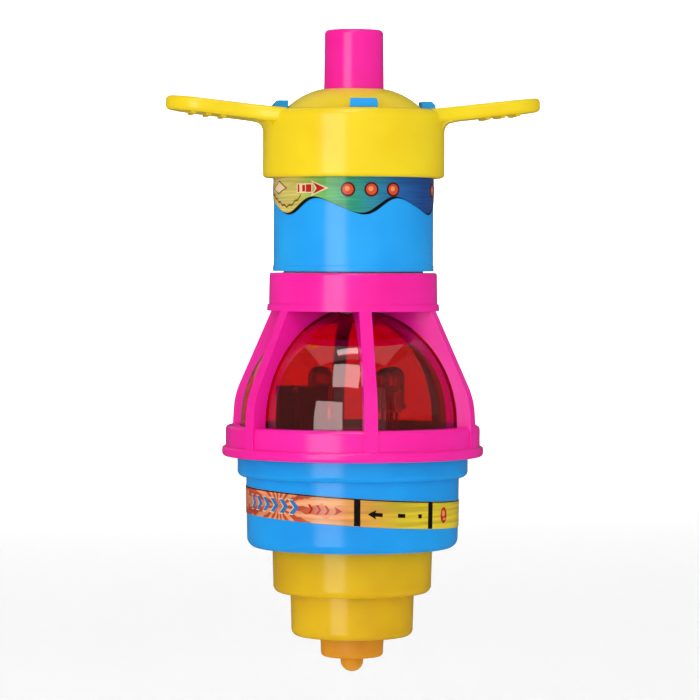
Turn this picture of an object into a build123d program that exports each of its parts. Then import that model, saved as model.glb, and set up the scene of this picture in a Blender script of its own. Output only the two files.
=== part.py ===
from build123d import *
import os
from math import acos, asin, cos, degrees, hypot, radians, sin, sqrt

os.makedirs("parts", exist_ok=True)

# A hand launcher with a light-up top hanging under it. All sizes are in millimetres.
# The axis of the toy is Z, and the origin is at the bottom of the spinning tip.

# Shared walls and clearances
shell_wall = 1.6  # moulded casings
cover_wall = 1.4  # flat inner covers
draft = 0.25  # radius that each moulded step gains from its bottom edge to its top edge
edge_round = 0.8  # exposed moulded edges
free_gap = 0.3  # between pieces that pass each other
running_gap = 0.08  # radial, shaft in hole
slide_gap = 0.15  # radial, button in its guide
label_film = 0.1
same_size = 0.01  # two sizes closer than this are the same
cut_past = 1.0  # how far a cutting tool reaches beyond what it cuts

# Spinning tip
tip_radius = 2.3
tip_height = 3.1
tip_flare = 0.8
tip_disc_radius = 6.3
tip_disc_height = 4.2
tip_spigot_radius = 3.0

# Stepped cone and base, each ledge measured inwards from the step above it
dome_radius = 22.45
step_inset = 0.65
step_overhang = 1.75
base_ledge = 5.3
cone_ledge = 3.65
cone_low_height = 8.7
cone_high_height = 9.1
base_height = 14.2
step_height = 4.1
cone_low_round = 1.4
cone_high_round = 1.5
base_round = 2.0
step_round = 1.2

# Cage
ring_wall = 2.75
bead_proud = 0.7
bead_height = 2.0
bead_round = 0.5
ring_height = 4.2
rib_count = 6
rib_width_top = 2.4
rib_width_bottom = 2.7
rib_proud = 0.3
rib_angle = 31.0  # one rib stands just right of the front
rib_inner = 5.0  # how close the ribs come to the axis, over the dome
shoulder_height = 5.6
shoulder_inset = 0.4
shoulder_bend = 14.0
collar_wall = 2.0
collar_step = 0.8  # collar radius beyond the barrel radius
collar_lip = 0.5
collar_lip_height = 1.3
collar_skirt = 2.1
collar_height = 7.6
collar_round = 0.5
plate_gap = 1.65
plate_thickness = 2.6

# Dome
dome_skirt = 0.9
dome_wall = 1.2
dome_flange_height = 1.2
rim_rise = 1.8  # how far the base rim stands inside the cage
snap_bead = 0.35
snap_height = 0.8

# Drive hub
hub_shaft_radius = 5.0
hub_flange_radius = 14.0
hub_flange_height = 3.1  # stands a little above the collar, so no light shows under the barrel
hub_spigot_radius = 2.85
hub_spigot_length = 3.6
hub_hex_flats = 7.4
hub_chamfer = 0.8
dog_count = 3
dog_angle = 30.0
dog_inner = 6.5
dog_length = 4.4
dog_width = 4.2
dog_ramp = 1.6
dog_height = 2.6

# Barrel
barrel_radius = 16.0
barrel_lip = 0.12
barrel_lip_height = 1.1
barrel_show = 18.6  # barrel height below the cap
web_recess = 1.6
screw_circle_inset = 1.5  # from the barrel bore to the screw centres
screw_boss_radius = 1.6
tab_count = 4
tab_width = 5.4
tab_thickness = 2.4
tab_rise = 1.8
tab_hook = 0.4
tab_root = 5.6

# Winged cap
cap_wall = 1.9
cap_fit = 0.3
cap_height = 13.6
cap_edge = 1.5
crown_foot_inset = 4.3  # from the cap side to the foot of the crown
crown_height = 4.1
crown_flat = 0.7
crown_bulge = 0.6
guide_wall = 1.6
guide_drop = 3.1
wing_reach = 37.7
wing_root_width = 20.0
wing_tip_width = 14.4
wing_root_thickness = 2.9
wing_tip_thickness = 2.85
wing_root_rise = 0.55  # top of the wing above the cap, where it leaves the crown
wing_tip_rise = 2.8
wing_gusset = 2.0
wing_gusset_angle = 44.0
wing_neck = 24.0  # where the wing reaches its tip width
wing_root_slope = 0.7
wing_edge = 0.9
grip_first = 26.5
grip_spacing = 3.0
grip_count = 3
grip_width = 1.0
grip_height = 0.4
grip_length = 10.0

# Push button
button_radius = 5.85
button_draft = 0.15
button_stand = 11.9
button_wall = 1.3
button_roof = 1.6
button_plate = 1.2
button_plate_hole = 2.8
button_travel = 4.0
skirt_wall = 1.2

# Mainspring
strip_thickness = 0.45
strip_width = 6.0
strip_pitch = 0.86
strip_gap = 0.6
strip_hook = 1.8
tail_clearance = 1.0  # degrees between the end of the strip and its screw boss

# Ratchet
tooth_count = 12
wheel_tip_radius = 9.4
tooth_depth = 1.4
wheel_thickness = 2.6
ratchet_room = 5.2
pawl_pivot_radius = 12.0
pawl_pivot_angle = 36.0
pawl_lift = 14.0  # degrees the pawl turns while the button goes down
pawl_eye_radius = 1.9
pawl_arm_width = 2.2
pawl_gap = 0.4  # between the arm and the tips of the teeth
nose_backlash = 0.45
nose_angle = 9.0
nose_bite = 0.4  # how far the nose stays above the bottom of the teeth
pawl_pin_radius = 0.9
peg_radius = 0.9
peg_angle = 13.0
peg_overlap = 1.0  # how far the peg reaches above the bottom of the button's skirt
leaf_thickness = 0.3
leaf_height = 2.0

# Coil spring under the button
coil_radius = 4.2
coil_wire = 0.6
coil_turns = 5
coil_seat_height = 2.6

# Screws
screw_count = 3
cone_screw_angle = 30.0
board_screw_angle = 60.0
cover_screw_angle = 90.0
screw_radius = 0.9
screw_head_radius = 1.5
screw_head_height = 1.2
cover_screw_length = 12.0
hub_screw_radius = 1.25
hub_screw_length = 7.0
hub_screw_head_radius = 3.0
hub_screw_head_height = 1.4
cone_screw_radius = 0.8
cone_screw_head_radius = 1.2
cone_screw_inset = 0.5  # from the cone's wall to the screw's boss
cone_screw_length = 14.0
cone_boss_radius = 1.8
cone_boss_height = 7.0
board_screw_length = 7.0
driver_slot = 0.5

# Battery cells and contacts
cell_radius = 5.8
cell_height = 5.4
cell_count = 3
cell_cap_radius = 4.1
cell_cap_height = 0.5
holder_wall = 1.3
contact_radius = 5.0
strap_width = 2.4
strap_thickness = 0.3

# Circuit board and what stands on it
board_thickness = 1.6
board_radius_inset = 3.0
board_drop = 3.6  # from the bottom of the windows to the underside of the board
board_post_radius = 2.2
part_circle = 10.5
led_count = 3
led_radius = 2.5
led_flange_radius = 2.9
led_flange_height = 1.0
led_height = 8.6
led_lift = 5.0
led_lead = 0.5
led_lead_pitch = 2.54
chip_radius = 3.2
chip_height = 1.3
switch_angle = 213.0
switch_reach = 6.5
switch_width = 8.0
switch_height = 10.0
switch_wall = 1.2
switch_circle = 13.0
arm_thickness = 0.5
arm_offset = -0.5
arm_weight_radius = 1.3
arm_pivot_radius = 0.5
arm_pivot_height = 1.6

# Printed labels
label_low = 11.2  # lower edge of the barrel label above the barrel's bottom
label_tuck = 1.4  # how far it reaches up inside the cap
base_label_low = 5.6  # its lower edge above the base's bottom, at the axis
base_label_height = 5.4
base_label_tilt = 3.6

# Radii that follow from the sizes above
step_radius = dome_radius + step_inset
base_radius = step_radius - step_overhang
cone_high_radius = base_radius - base_ledge
cone_low_radius = cone_high_radius - cone_ledge
cage_bore = dome_radius + free_gap
ring_radius = cage_bore + ring_wall
bead_radius = ring_radius + bead_proud
rim_bore = step_radius + running_gap
collar_radius = barrel_radius + collar_step
collar_bore = collar_radius - collar_wall
lip_radius = collar_radius + collar_lip
barrel_bore = barrel_radius - shell_wall
screw_circle = barrel_bore - screw_circle_inset
cap_radius = barrel_radius + cap_fit + cap_wall
crown_radius = cap_radius - crown_foot_inset
button_low_radius = button_radius + button_draft
guide_bore = button_low_radius + slide_gap
guide_radius = guide_bore + guide_wall
wheel_root_radius = wheel_tip_radius - tooth_depth
arm_inner = wheel_tip_radius + pawl_gap
holder_bore = cell_radius + free_gap
holder_radius = holder_bore + holder_wall
board_radius = dome_radius - dome_wall - board_radius_inset
cone_screw_circle = cone_high_radius - cone_boss_radius - cone_screw_inset
board_post_circle = board_radius - board_post_radius - free_gap
spigot_bore = hub_spigot_radius + running_gap
base_hole = holder_bore + free_gap
tooth_pitch = 360 / tooth_count
strap_radius = holder_radius + running_gap + strap_thickness / 2
column_radius = screw_boss_radius - free_gap
wing_start = cap_radius - cap_edge + free_gap
tab_angle = degrees(tab_width / barrel_radius)
slot_angle = tab_angle + degrees(2 * free_gap / barrel_radius)
arm_outer = arm_inner + pawl_arm_width
nose_radius = wheel_root_radius + nose_bite
nose_start = degrees(nose_backlash / wheel_root_radius)
spring_coil_radius = pawl_pin_radius + running_gap + leaf_thickness

# Levels that follow from the sizes above
z_cone = tip_height + tip_disc_height
z_cone_floor = z_cone + shell_wall
z_cone_step = z_cone + cone_low_height
z_base = z_cone_step + cone_high_height
z_base_floor = z_base + shell_wall
z_base_step = z_base + base_height
z_cage = z_base_step + step_height
z_rim = z_cage + rim_rise
z_snap = z_cage + (rim_rise - snap_height) / 2
z_ring = z_cage + bead_height
z_window = z_ring + ring_height
z_dome_centre = z_window + dome_skirt
z_board = z_window - board_drop
z_board_top = z_board + board_thickness
z_led = z_board_top + led_lift
z_cells = z_cone_floor + strap_thickness
z_cells_top = z_cells + cell_count * cell_height
z_rib_inner = z_dome_centre + sqrt(cage_bore**2 - rib_inner**2)
z_plate = z_dome_centre + dome_radius + plate_gap
z_plate_top = z_plate + plate_thickness
z_collar = z_plate - collar_skirt
z_collar_top = z_collar + collar_height
z_barrel = z_collar_top + free_gap
z_hub_flange = z_plate_top + free_gap
z_hub_flange_top = z_hub_flange + hub_flange_height
z_web = z_barrel + web_recess
z_web_top = z_web + shell_wall
z_strip = z_web_top + free_gap
z_spring_cover = z_strip + strip_width + free_gap
z_spring_cover_top = z_spring_cover + cover_wall
z_wheel = z_spring_cover_top + free_gap
z_wheel_top = z_wheel + wheel_thickness
z_ratchet_cover = z_spring_cover_top + ratchet_room
z_ratchet_cover_top = z_ratchet_cover + cover_wall
z_cap = z_barrel + barrel_show
z_cap_top = z_cap + cap_height
z_crown = z_cap_top + crown_height
z_barrel_top = z_cap_top - shell_wall - free_gap
z_guide = z_cap_top - guide_drop
z_button_plate_top = z_guide - free_gap
z_button_plate = z_button_plate_top - button_plate
z_skirt = z_ratchet_cover_top + button_travel + free_gap
z_button_top = z_crown + button_stand

# The spiral of the mainspring, drawn as half circles that grow by half a pitch each
strip_start = hub_shaft_radius + strip_gap
strip_room = screw_circle - screw_boss_radius - free_gap - strip_thickness - strip_start
strip_half_turns = 1 + 2 * int(strip_room / strip_pitch - 0.5)
strip_end_radius = strip_start + strip_half_turns * strip_pitch / 2
strip_tail_angle = (
    cover_screw_angle
    + 360 / screw_count
    - 180
    - tail_clearance
    - degrees(asin((screw_boss_radius + strip_thickness + free_gap / 2) / screw_circle))
)
coil_pitch = (z_button_plate - z_ratchet_cover_top - 2 * coil_wire) / coil_turns


def point(radius, angle):
    """A point in plan, from its radius and its angle in degrees."""
    return (radius * cos(radians(angle)), radius * sin(radians(angle)))


def turned(place, centre, angle):
    """A point in plan after a turn in degrees about another point."""
    across, up = place[0] - centre[0], place[1] - centre[1]
    c, s = cos(radians(angle)), sin(radians(angle))
    return (centre[0] + across * c - up * s, centre[1] + across * s + up * c)


def beside(place, toward, distance):
    """A point in plan that lies to the left of the way from one point to another."""
    across, up = toward[0] - place[0], toward[1] - place[1]
    length = hypot(across, up)
    return (place[0] - up / length * distance, place[1] + across / length * distance)


def wing_top(reach):
    """Height of a wing's upper face at a distance from the axis."""
    share = (reach - cap_radius) / (wing_reach - cap_radius)
    return z_cap_top + wing_root_rise + share * (wing_tip_rise - wing_root_rise)


def wing_bottom(reach):
    """Height of a wing's lower face at a distance from the axis."""
    share = (reach - cap_radius) / (wing_reach - cap_radius)
    return wing_top(reach) - wing_root_thickness - share * (wing_tip_thickness - wing_root_thickness)


# The pawl's peg moves outwards as the pawl turns, and the button's conical skirt is as steep as
# that, so skirt and peg stay the same distance apart while the button goes down.
pawl_pivot = point(pawl_pivot_radius, pawl_pivot_angle)
peg_rest = point((arm_inner + arm_outer) / 2, peg_angle)
peg_out = turned(peg_rest, pawl_pivot, pawl_lift)
skirt_slope = (hypot(*peg_out) - hypot(*peg_rest)) / button_travel
skirt_low_radius = hypot(*peg_rest) - peg_radius - free_gap - skirt_slope * peg_overlap
skirt_high_radius = skirt_low_radius + skirt_slope * (z_button_plate_top - z_skirt)

# The two legs of the pawl's spring: one lies behind the peg, the other on the barrel wall
leg_offset = peg_radius + leaf_thickness
leg_root = beside(pawl_pivot, peg_rest, leg_offset)
leg_tip = beside(peg_rest, pawl_pivot, -leg_offset)
brace_tip = point(barrel_bore - leaf_thickness, 2 * pawl_pivot_angle - peg_angle)
brace_root = beside(pawl_pivot, brace_tip, -leg_offset)

# The light switch stands on the board with its open side outwards
switch_plane = Plane(
    origin=(*point(switch_circle, switch_angle), z_board_top),
    x_dir=(*point(1, switch_angle), 0),
    z_dir=(0, 0, 1),
)
arm_width = switch_width - 2 * switch_wall - 2 * free_gap
arm_pivot = switch_plane.from_local_coords((arm_offset, 0, arm_pivot_height))
arm_weight = switch_plane.from_local_coords((arm_offset, 0, switch_height - arm_weight_radius))


def rims(piece, radius, height):
    """The round edges of a piece that have one radius and lie at one height."""
    return piece.edges().filter_by(GeomType.CIRCLE).filter_by(
        lambda edge: abs(edge.radius - radius) < same_size and abs(edge.center().Z - height) < same_size
    )


# ---------------------------------------------------------------- the top

with BuildPart() as spin_tip:
    with BuildSketch(Plane.XZ):
        with BuildLine():
            Line((0, z_cone_floor), (0, 0))
            CenterArc((0, tip_radius), tip_radius, -90, 90)
            CenterArc((tip_radius + tip_flare, tip_radius), tip_flare, 180, -90)
            Polyline(
                (tip_radius + tip_flare, tip_height),
                (tip_disc_radius - draft / 2, tip_height),
                (tip_disc_radius + draft / 2, z_cone),
                (tip_spigot_radius, z_cone),
                (tip_spigot_radius, z_cone_floor),
                (0, z_cone_floor),
            )
        make_face()
    revolve(axis=Axis.Z)
    fillet(rims(spin_tip, tip_disc_radius - draft / 2, tip_height), radius=edge_round)

with BuildPart() as stepped_cone:
    with BuildSketch(Plane.XZ):
        with BuildLine():
            Polyline(
                (tip_spigot_radius, z_cone),
                (cone_low_radius - draft, z_cone),
                (cone_low_radius, z_cone_step),
                (cone_high_radius - draft, z_cone_step),
                (cone_high_radius, z_base),
                (cone_high_radius - shell_wall, z_base),
                (cone_high_radius - shell_wall - draft, z_cone_step + shell_wall),
                (cone_low_radius - shell_wall, z_cone_step + shell_wall),
                (cone_low_radius - shell_wall - draft, z_cone_floor),
                (tip_spigot_radius, z_cone_floor),
                close=True,
            )
        make_face()
    revolve(axis=Axis.Z)
    fillet(rims(stepped_cone, cone_low_radius - draft, z_cone), radius=cone_low_round)
    fillet(rims(stepped_cone, cone_high_radius - draft, z_cone_step), radius=cone_high_round)
    with BuildSketch(Plane.XY.offset(z_cone_step + shell_wall)):
        with PolarLocations(cone_screw_circle, screw_count, start_angle=cone_screw_angle):
            Circle(cone_boss_radius)
    extrude(amount=z_base - z_cone_step - shell_wall)
    with BuildSketch(Plane.XY.offset(z_cone_step)):
        with PolarLocations(cone_screw_circle, screw_count, start_angle=cone_screw_angle):
            Circle(cone_screw_radius)
    extrude(amount=z_base - z_cone_step, mode=Mode.SUBTRACT)
    with BuildSketch(Plane.XY.offset(z_cone_step)):
        with PolarLocations(cone_screw_circle, screw_count, start_angle=cone_screw_angle):
            Circle(cone_screw_head_radius + running_gap)
    extrude(amount=shell_wall, mode=Mode.SUBTRACT)

with BuildPart() as base_shell:
    with BuildSketch(Plane.XZ):
        with BuildLine():
            Polyline(
                (base_hole, z_base),
                (base_radius - draft, z_base),
                (base_radius, z_base_step),
                (step_radius, z_base_step),
                (step_radius, z_snap),
                (step_radius + snap_bead, z_snap + snap_height / 2),
                (step_radius, z_snap + snap_height),
                (step_radius, z_rim),
                (step_radius - shell_wall, z_rim),
                (step_radius - shell_wall, z_base_step + shell_wall),
                (base_radius - shell_wall, z_base_step + shell_wall),
                (base_radius - shell_wall - draft, z_base_floor),
                (base_hole, z_base_floor),
                close=True,
            )
        make_face()
    revolve(axis=Axis.Z)
    fillet(rims(base_shell, base_radius - draft, z_base), radius=base_round)
    fillet(rims(base_shell, step_radius, z_base_step), radius=step_round)
    with BuildSketch(Plane.XY.offset(z_base_floor)):
        with PolarLocations(cone_screw_circle, screw_count, start_angle=cone_screw_angle):
            Circle(cone_boss_radius)
    extrude(amount=cone_boss_height)
    with BuildSketch(Plane.XY.offset(z_base_floor)):
        with PolarLocations(board_post_circle, screw_count, start_angle=board_screw_angle):
            Circle(board_post_radius)
    extrude(amount=z_board - z_base_floor)
    with BuildSketch(Plane.XY.offset(z_base)):
        with PolarLocations(cone_screw_circle, screw_count, start_angle=cone_screw_angle):
            Circle(cone_screw_radius)
    extrude(amount=shell_wall + cone_boss_height - edge_round, mode=Mode.SUBTRACT)
    with BuildSketch(Plane.XY.offset(z_board)):
        with PolarLocations(board_post_circle, screw_count, start_angle=board_screw_angle):
            Circle(screw_radius)
    extrude(amount=-board_screw_length, mode=Mode.SUBTRACT)
    with BuildSketch(Plane.XY.offset(z_base)):
        with Locations((strap_radius, 0)):
            Rectangle(strap_thickness + 2 * free_gap, strap_width + 2 * free_gap)
    extrude(amount=shell_wall, mode=Mode.SUBTRACT)

with BuildPart() as base_label:
    with BuildSketch(Plane.XZ):
        with BuildLine():
            Polyline(
                (base_radius - draft, z_base),
                (base_radius - draft + label_film, z_base),
                (base_radius + label_film, z_base_step),
                (base_radius, z_base_step),
                close=True,
            )
        make_face()
    revolve(axis=Axis.Z)
    label_plane = Plane(
        origin=(0, 0, z_base + base_label_low),
        x_dir=(cos(radians(base_label_tilt)), 0, -sin(radians(base_label_tilt))),
        z_dir=(sin(radians(base_label_tilt)), 0, cos(radians(base_label_tilt))),
    )
    with BuildSketch(label_plane):
        Circle(2 * base_radius)
    extrude(amount=base_label_height, mode=Mode.INTERSECT)

# One rib of the cage: its outline from the side, then its width from the front
with BuildPart() as rib:
    with BuildSketch(Plane.XZ) as rib_side:
        with BuildLine():
            Polyline(
                (cage_bore + edge_round, z_ring),
                (ring_radius + rib_proud, z_ring),
                (ring_radius + rib_proud, z_window - edge_round),
                (ring_radius + rib_proud - shoulder_inset, z_window + shoulder_height),
                (lip_radius, z_collar),
                (collar_bore + free_gap, z_plate + free_gap),
                (rib_inner, z_plate + free_gap),
                (rib_inner, z_rib_inner),
            )
            CenterArc((0, z_dome_centre), cage_bore, 0, degrees(acos(rib_inner / cage_bore)))
            Polyline(
                (cage_bore, z_dome_centre),
                (cage_bore, z_window),
                (cage_bore + edge_round, z_window - edge_round),
                (cage_bore + edge_round, z_ring),
            )
        make_face()
        shoulder = (ring_radius + rib_proud - shoulder_inset, z_window + shoulder_height, 0)
        fillet(rib_side.vertices().sort_by_distance(shoulder)[0], radius=shoulder_bend)
    extrude(amount=rib_width_bottom, both=True)
    with BuildSketch(Plane.YZ):
        with BuildLine():
            Polyline(
                (-rib_width_bottom / 2, z_ring),
                (rib_width_bottom / 2, z_ring),
                (rib_width_top / 2, z_plate_top),
                (-rib_width_top / 2, z_plate_top),
                close=True,
            )
        make_face()
    extrude(amount=2 * bead_radius, mode=Mode.INTERSECT)

with BuildPart() as dog:
    with BuildSketch(Plane.YZ.offset(dog_inner)):
        with BuildLine():
            Polyline(
                (dog_width / 2, z_hub_flange),
                (dog_width / 2, z_hub_flange - dog_height),
                (dog_ramp - dog_width / 2, z_hub_flange - dog_height),
                (-dog_width / 2, z_hub_flange),
                close=True,
            )
        make_face()
    extrude(amount=dog_length)

with BuildPart() as dog_slot:
    with BuildSketch(Plane.YZ.offset(dog_inner - free_gap)):
        with BuildLine():
            Polyline(
                (dog_width / 2 + free_gap, z_plate_top + cut_past),
                (dog_width / 2 + free_gap, z_plate - cut_past),
                (dog_ramp - dog_width / 2 - 2 * free_gap, z_plate - cut_past),
                (-dog_width / 2 - 2 * free_gap, z_plate_top + cut_past),
                close=True,
            )
        make_face()
    extrude(amount=dog_length + 2 * free_gap)

with BuildPart() as cage:
    with BuildSketch(Plane.XZ):
        with BuildLine():
            Polyline(
                (rim_bore, z_cage),
                (bead_radius, z_cage),
                (bead_radius, z_ring),
                (ring_radius, z_ring),
                (ring_radius, z_window),
                (cage_bore, z_window),
                (cage_bore, z_rim + dome_flange_height),
                (rim_bore, z_rim + dome_flange_height),
                (rim_bore, z_snap + snap_height),
                (rim_bore + snap_bead, z_snap + snap_height / 2),
                (rim_bore, z_snap),
                close=True,
            )
        make_face()
        with BuildLine():
            Polyline(
                (collar_bore, z_collar),
                (lip_radius, z_collar),
                (lip_radius - label_film, z_collar + collar_lip_height),
                (collar_radius + label_film, z_collar + collar_lip_height),
                (collar_radius, z_collar_top),
                (collar_bore, z_collar_top),
                (collar_bore, z_plate_top),
                (spigot_bore, z_plate_top),
                (spigot_bore, z_plate),
                (collar_bore, z_plate),
                close=True,
            )
        make_face()
    revolve(axis=Axis.Z)
    fillet(rims(cage, bead_radius, z_cage), radius=edge_round)
    fillet(rims(cage, bead_radius, z_ring), radius=bead_round)
    fillet(rims(cage, ring_radius, z_window), radius=edge_round)
    fillet(rims(cage, collar_radius, z_collar_top), radius=collar_round)
    with PolarLocations(0, rib_count, start_angle=rib_angle):
        add(rib.part)
    with PolarLocations(0, dog_count, start_angle=dog_angle):
        add(dog_slot.part, mode=Mode.SUBTRACT)

with BuildPart() as dome:
    with BuildSketch(Plane.XZ):
        with BuildLine():
            CenterArc((0, z_dome_centre), dome_radius, 0, 90)
            Line((0, z_dome_centre + dome_radius), (0, z_dome_centre + dome_radius - dome_wall))
            CenterArc((0, z_dome_centre), dome_radius - dome_wall, 90, -90)
            Polyline(
                (dome_radius - dome_wall, z_dome_centre),
                (dome_radius - dome_wall, z_rim),
                (step_radius, z_rim),
                (step_radius, z_rim + dome_flange_height),
                (dome_radius, z_rim + dome_flange_height),
                (dome_radius, z_dome_centre),
            )
        make_face()
    revolve(axis=Axis.Z)

# ---------------------------------------------------------------- inside the top

with BuildPart() as circuit_board:
    with BuildSketch(Plane.XY.offset(z_board)):
        Circle(board_radius)
        with PolarLocations(board_post_circle, screw_count, start_angle=board_screw_angle):
            Circle(screw_radius, mode=Mode.SUBTRACT)
    extrude(amount=board_thickness)

with BuildPart() as chip_blob:
    with BuildSketch(Plane.XY.offset(z_board_top)):
        Circle(chip_radius)
    extrude(amount=chip_height)
    fillet(rims(chip_blob, chip_radius, z_board_top + chip_height), radius=chip_height - running_gap)

leds = {}
for number, colour in enumerate(("red", "green", "blue"), start=1):
    with BuildPart() as led:
        with BuildSketch(Plane.XY.offset(z_led)):
            with Locations(point(part_circle, switch_angle + 90 * number)):
                Circle(led_flange_radius)
        extrude(amount=led_flange_height)
        with BuildSketch(Plane.XY.offset(z_led)):
            with Locations(point(part_circle, switch_angle + 90 * number)):
                Circle(led_radius)
        extrude(amount=led_height)
        fillet(rims(led, led_radius, z_led + led_height), radius=led_radius - free_gap)
    leds[colour] = led

with BuildPart() as led_leads:
    with BuildSketch(Plane.XY.offset(z_board_top)):
        for number in range(1, led_count + 1):
            angle = switch_angle + 90 * number
            for side in (-1, 1):
                with Locations(point(part_circle + side * led_lead_pitch / 2, angle)):
                    Rectangle(led_lead, led_lead, rotation=angle)
    extrude(amount=led_lift)

with BuildPart() as switch_housing:
    with BuildSketch(switch_plane):
        Rectangle(switch_reach, switch_width)
    extrude(amount=switch_height)
    with BuildSketch(switch_plane.offset(switch_wall / 2)):
        with Locations((switch_wall, 0)):
            Rectangle(switch_reach, switch_width - 2 * switch_wall)
    extrude(amount=switch_height, mode=Mode.SUBTRACT)
    with BuildSketch(Plane(origin=arm_pivot, z_dir=switch_plane.y_dir)):
        Circle(arm_pivot_radius + running_gap)
    extrude(amount=switch_width / 2 - switch_wall / 2, both=True, mode=Mode.SUBTRACT)

with BuildPart() as switch_arm:
    with BuildSketch(Plane(origin=arm_pivot, z_dir=switch_plane.y_dir)):
        Circle(arm_pivot_radius)
    extrude(amount=switch_width / 2 - switch_wall / 2 - running_gap, both=True)
    with BuildSketch(switch_plane.offset(arm_pivot_height)):
        with Locations((arm_offset, 0)):
            Rectangle(arm_thickness, arm_width)
    extrude(amount=switch_height - arm_pivot_height - arm_weight_radius)
    with BuildSketch(Plane(origin=arm_weight, z_dir=switch_plane.y_dir)):
        Circle(arm_weight_radius)
    extrude(amount=arm_width / 2, both=True)

with BuildPart() as battery_holder:
    with BuildSketch(Plane.XY.offset(z_cone_floor)):
        Circle(holder_radius)
        Circle(holder_bore, mode=Mode.SUBTRACT)
    extrude(amount=z_base - z_cone_floor)
    with BuildSketch(Plane.XY.offset(z_cone_floor)):
        with Locations((holder_radius, 0)):
            Rectangle(4 * holder_wall, strap_width + 2 * free_gap)
    extrude(amount=strap_thickness + running_gap, mode=Mode.SUBTRACT)
    with BuildSketch(Plane.XY.offset(z_cells + cell_height / 2)):
        Rectangle(cell_radius, 4 * holder_radius)
    extrude(amount=(cell_count - 1) * cell_height, mode=Mode.SUBTRACT)

cells = []
for number in range(cell_count):
    with BuildPart() as cell:
        with BuildSketch(Plane.XY.offset(z_cells + number * cell_height)):
            Circle(cell_cap_radius)
        extrude(amount=cell_height)
        with BuildSketch(Plane.XY.offset(z_cells + number * cell_height + cell_cap_height)):
            Circle(cell_radius)
        extrude(amount=cell_height - cell_cap_height)
        fillet(rims(cell, cell_radius, z_cells + (number + 1) * cell_height), radius=cell_cap_height)
    cells.append(cell)

with BuildPart() as contact_minus:
    with BuildSketch(Plane.XY.offset(z_cone_floor)):
        Circle(contact_radius)
        with Locations((strap_radius / 2, 0)):
            Rectangle(strap_radius + strap_thickness, strap_width)
    extrude(amount=strap_thickness)
    with BuildSketch(Plane.XY.offset(z_cone_floor)):
        with Locations((strap_radius, 0)):
            Rectangle(strap_thickness, strap_width)
    extrude(amount=z_board - z_cone_floor)

with BuildPart() as contact_plus:
    with BuildSketch(Plane.XY.offset(z_cells_top)):
        Circle(contact_radius)
    extrude(amount=strap_thickness)
    with BuildSketch(Plane.XY.offset(z_cells_top)):
        with Locations((strap_width - contact_radius, 0)):
            Rectangle(strap_thickness, strap_width)
    extrude(amount=z_board - z_cells_top)

with BuildPart() as board_screws:
    with BuildSketch(Plane.XY.offset(z_board_top)):
        with PolarLocations(board_post_circle, screw_count, start_angle=board_screw_angle):
            Circle(screw_head_radius)
    extrude(amount=screw_head_height)
    with BuildSketch(Plane.XY.offset(z_board_top)):
        with PolarLocations(board_post_circle, screw_count, start_angle=board_screw_angle):
            Circle(screw_radius)
    extrude(amount=-board_screw_length)
    with BuildSketch(Plane.XY.offset(z_board_top + screw_head_height)):
        with PolarLocations(board_post_circle, screw_count, start_angle=board_screw_angle):
            Rectangle(driver_slot, 3 * screw_radius)
            Rectangle(3 * screw_radius, driver_slot)
    extrude(amount=-driver_slot, mode=Mode.SUBTRACT)

with BuildPart() as cone_screws:
    with BuildSketch(Plane.XY.offset(z_cone_step + shell_wall)):
        with PolarLocations(cone_screw_circle, screw_count, start_angle=cone_screw_angle):
            Circle(cone_screw_head_radius)
    extrude(amount=-screw_head_height)
    with BuildSketch(Plane.XY.offset(z_cone_step + shell_wall)):
        with PolarLocations(cone_screw_circle, screw_count, start_angle=cone_screw_angle):
            Circle(cone_screw_radius)
    extrude(amount=cone_screw_length)
    with BuildSketch(Plane.XY.offset(z_cone_step + shell_wall - screw_head_height)):
        with PolarLocations(cone_screw_circle, screw_count, start_angle=cone_screw_angle):
            Rectangle(driver_slot, 2 * cone_screw_radius)
            Rectangle(2 * cone_screw_radius, driver_slot)
    extrude(amount=driver_slot, mode=Mode.SUBTRACT)

# ---------------------------------------------------------------- the launcher's drive

with BuildPart() as drive_hub:
    with BuildSketch(Plane.XZ):
        with BuildLine():
            Polyline(
                (0, z_hub_flange - hub_spigot_length),
                (hub_spigot_radius - hub_chamfer, z_hub_flange - hub_spigot_length),
                (hub_spigot_radius, z_hub_flange - hub_spigot_length + hub_chamfer),
                (hub_spigot_radius, z_hub_flange),
                (hub_flange_radius, z_hub_flange),
                (hub_flange_radius, z_hub_flange_top),
                (hub_shaft_radius + hub_chamfer, z_hub_flange_top),
                (hub_shaft_radius + hub_chamfer, z_web - free_gap),
                (hub_shaft_radius, z_web - free_gap),
                (hub_shaft_radius, z_wheel),
                (0, z_wheel),
                close=True,
            )
        make_face()
    revolve(axis=Axis.Z)
    with BuildSketch(Plane.XY.offset(z_wheel)):
        RegularPolygon(hub_hex_flats / 2, 6, major_radius=False)
    extrude(amount=wheel_thickness)
    with BuildSketch(Plane.XY.offset(z_wheel_top)):
        Circle(hub_screw_radius)
    extrude(amount=-hub_screw_length, mode=Mode.SUBTRACT)
    with PolarLocations(0, dog_count, start_angle=dog_angle):
        add(dog.part)

with BuildPart() as ratchet_wheel:
    with BuildSketch(Plane.XY.offset(z_wheel)):
        with BuildLine():
            outline = []
            for tooth in range(tooth_count):
                outline.append(point(wheel_root_radius, tooth * tooth_pitch))
                outline.append(point(wheel_tip_radius, (tooth + 1) * tooth_pitch))
            Polyline(*outline, close=True)
        make_face()
        RegularPolygon(hub_hex_flats / 2, 6, major_radius=False, mode=Mode.SUBTRACT)
    extrude(amount=wheel_thickness)

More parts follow.
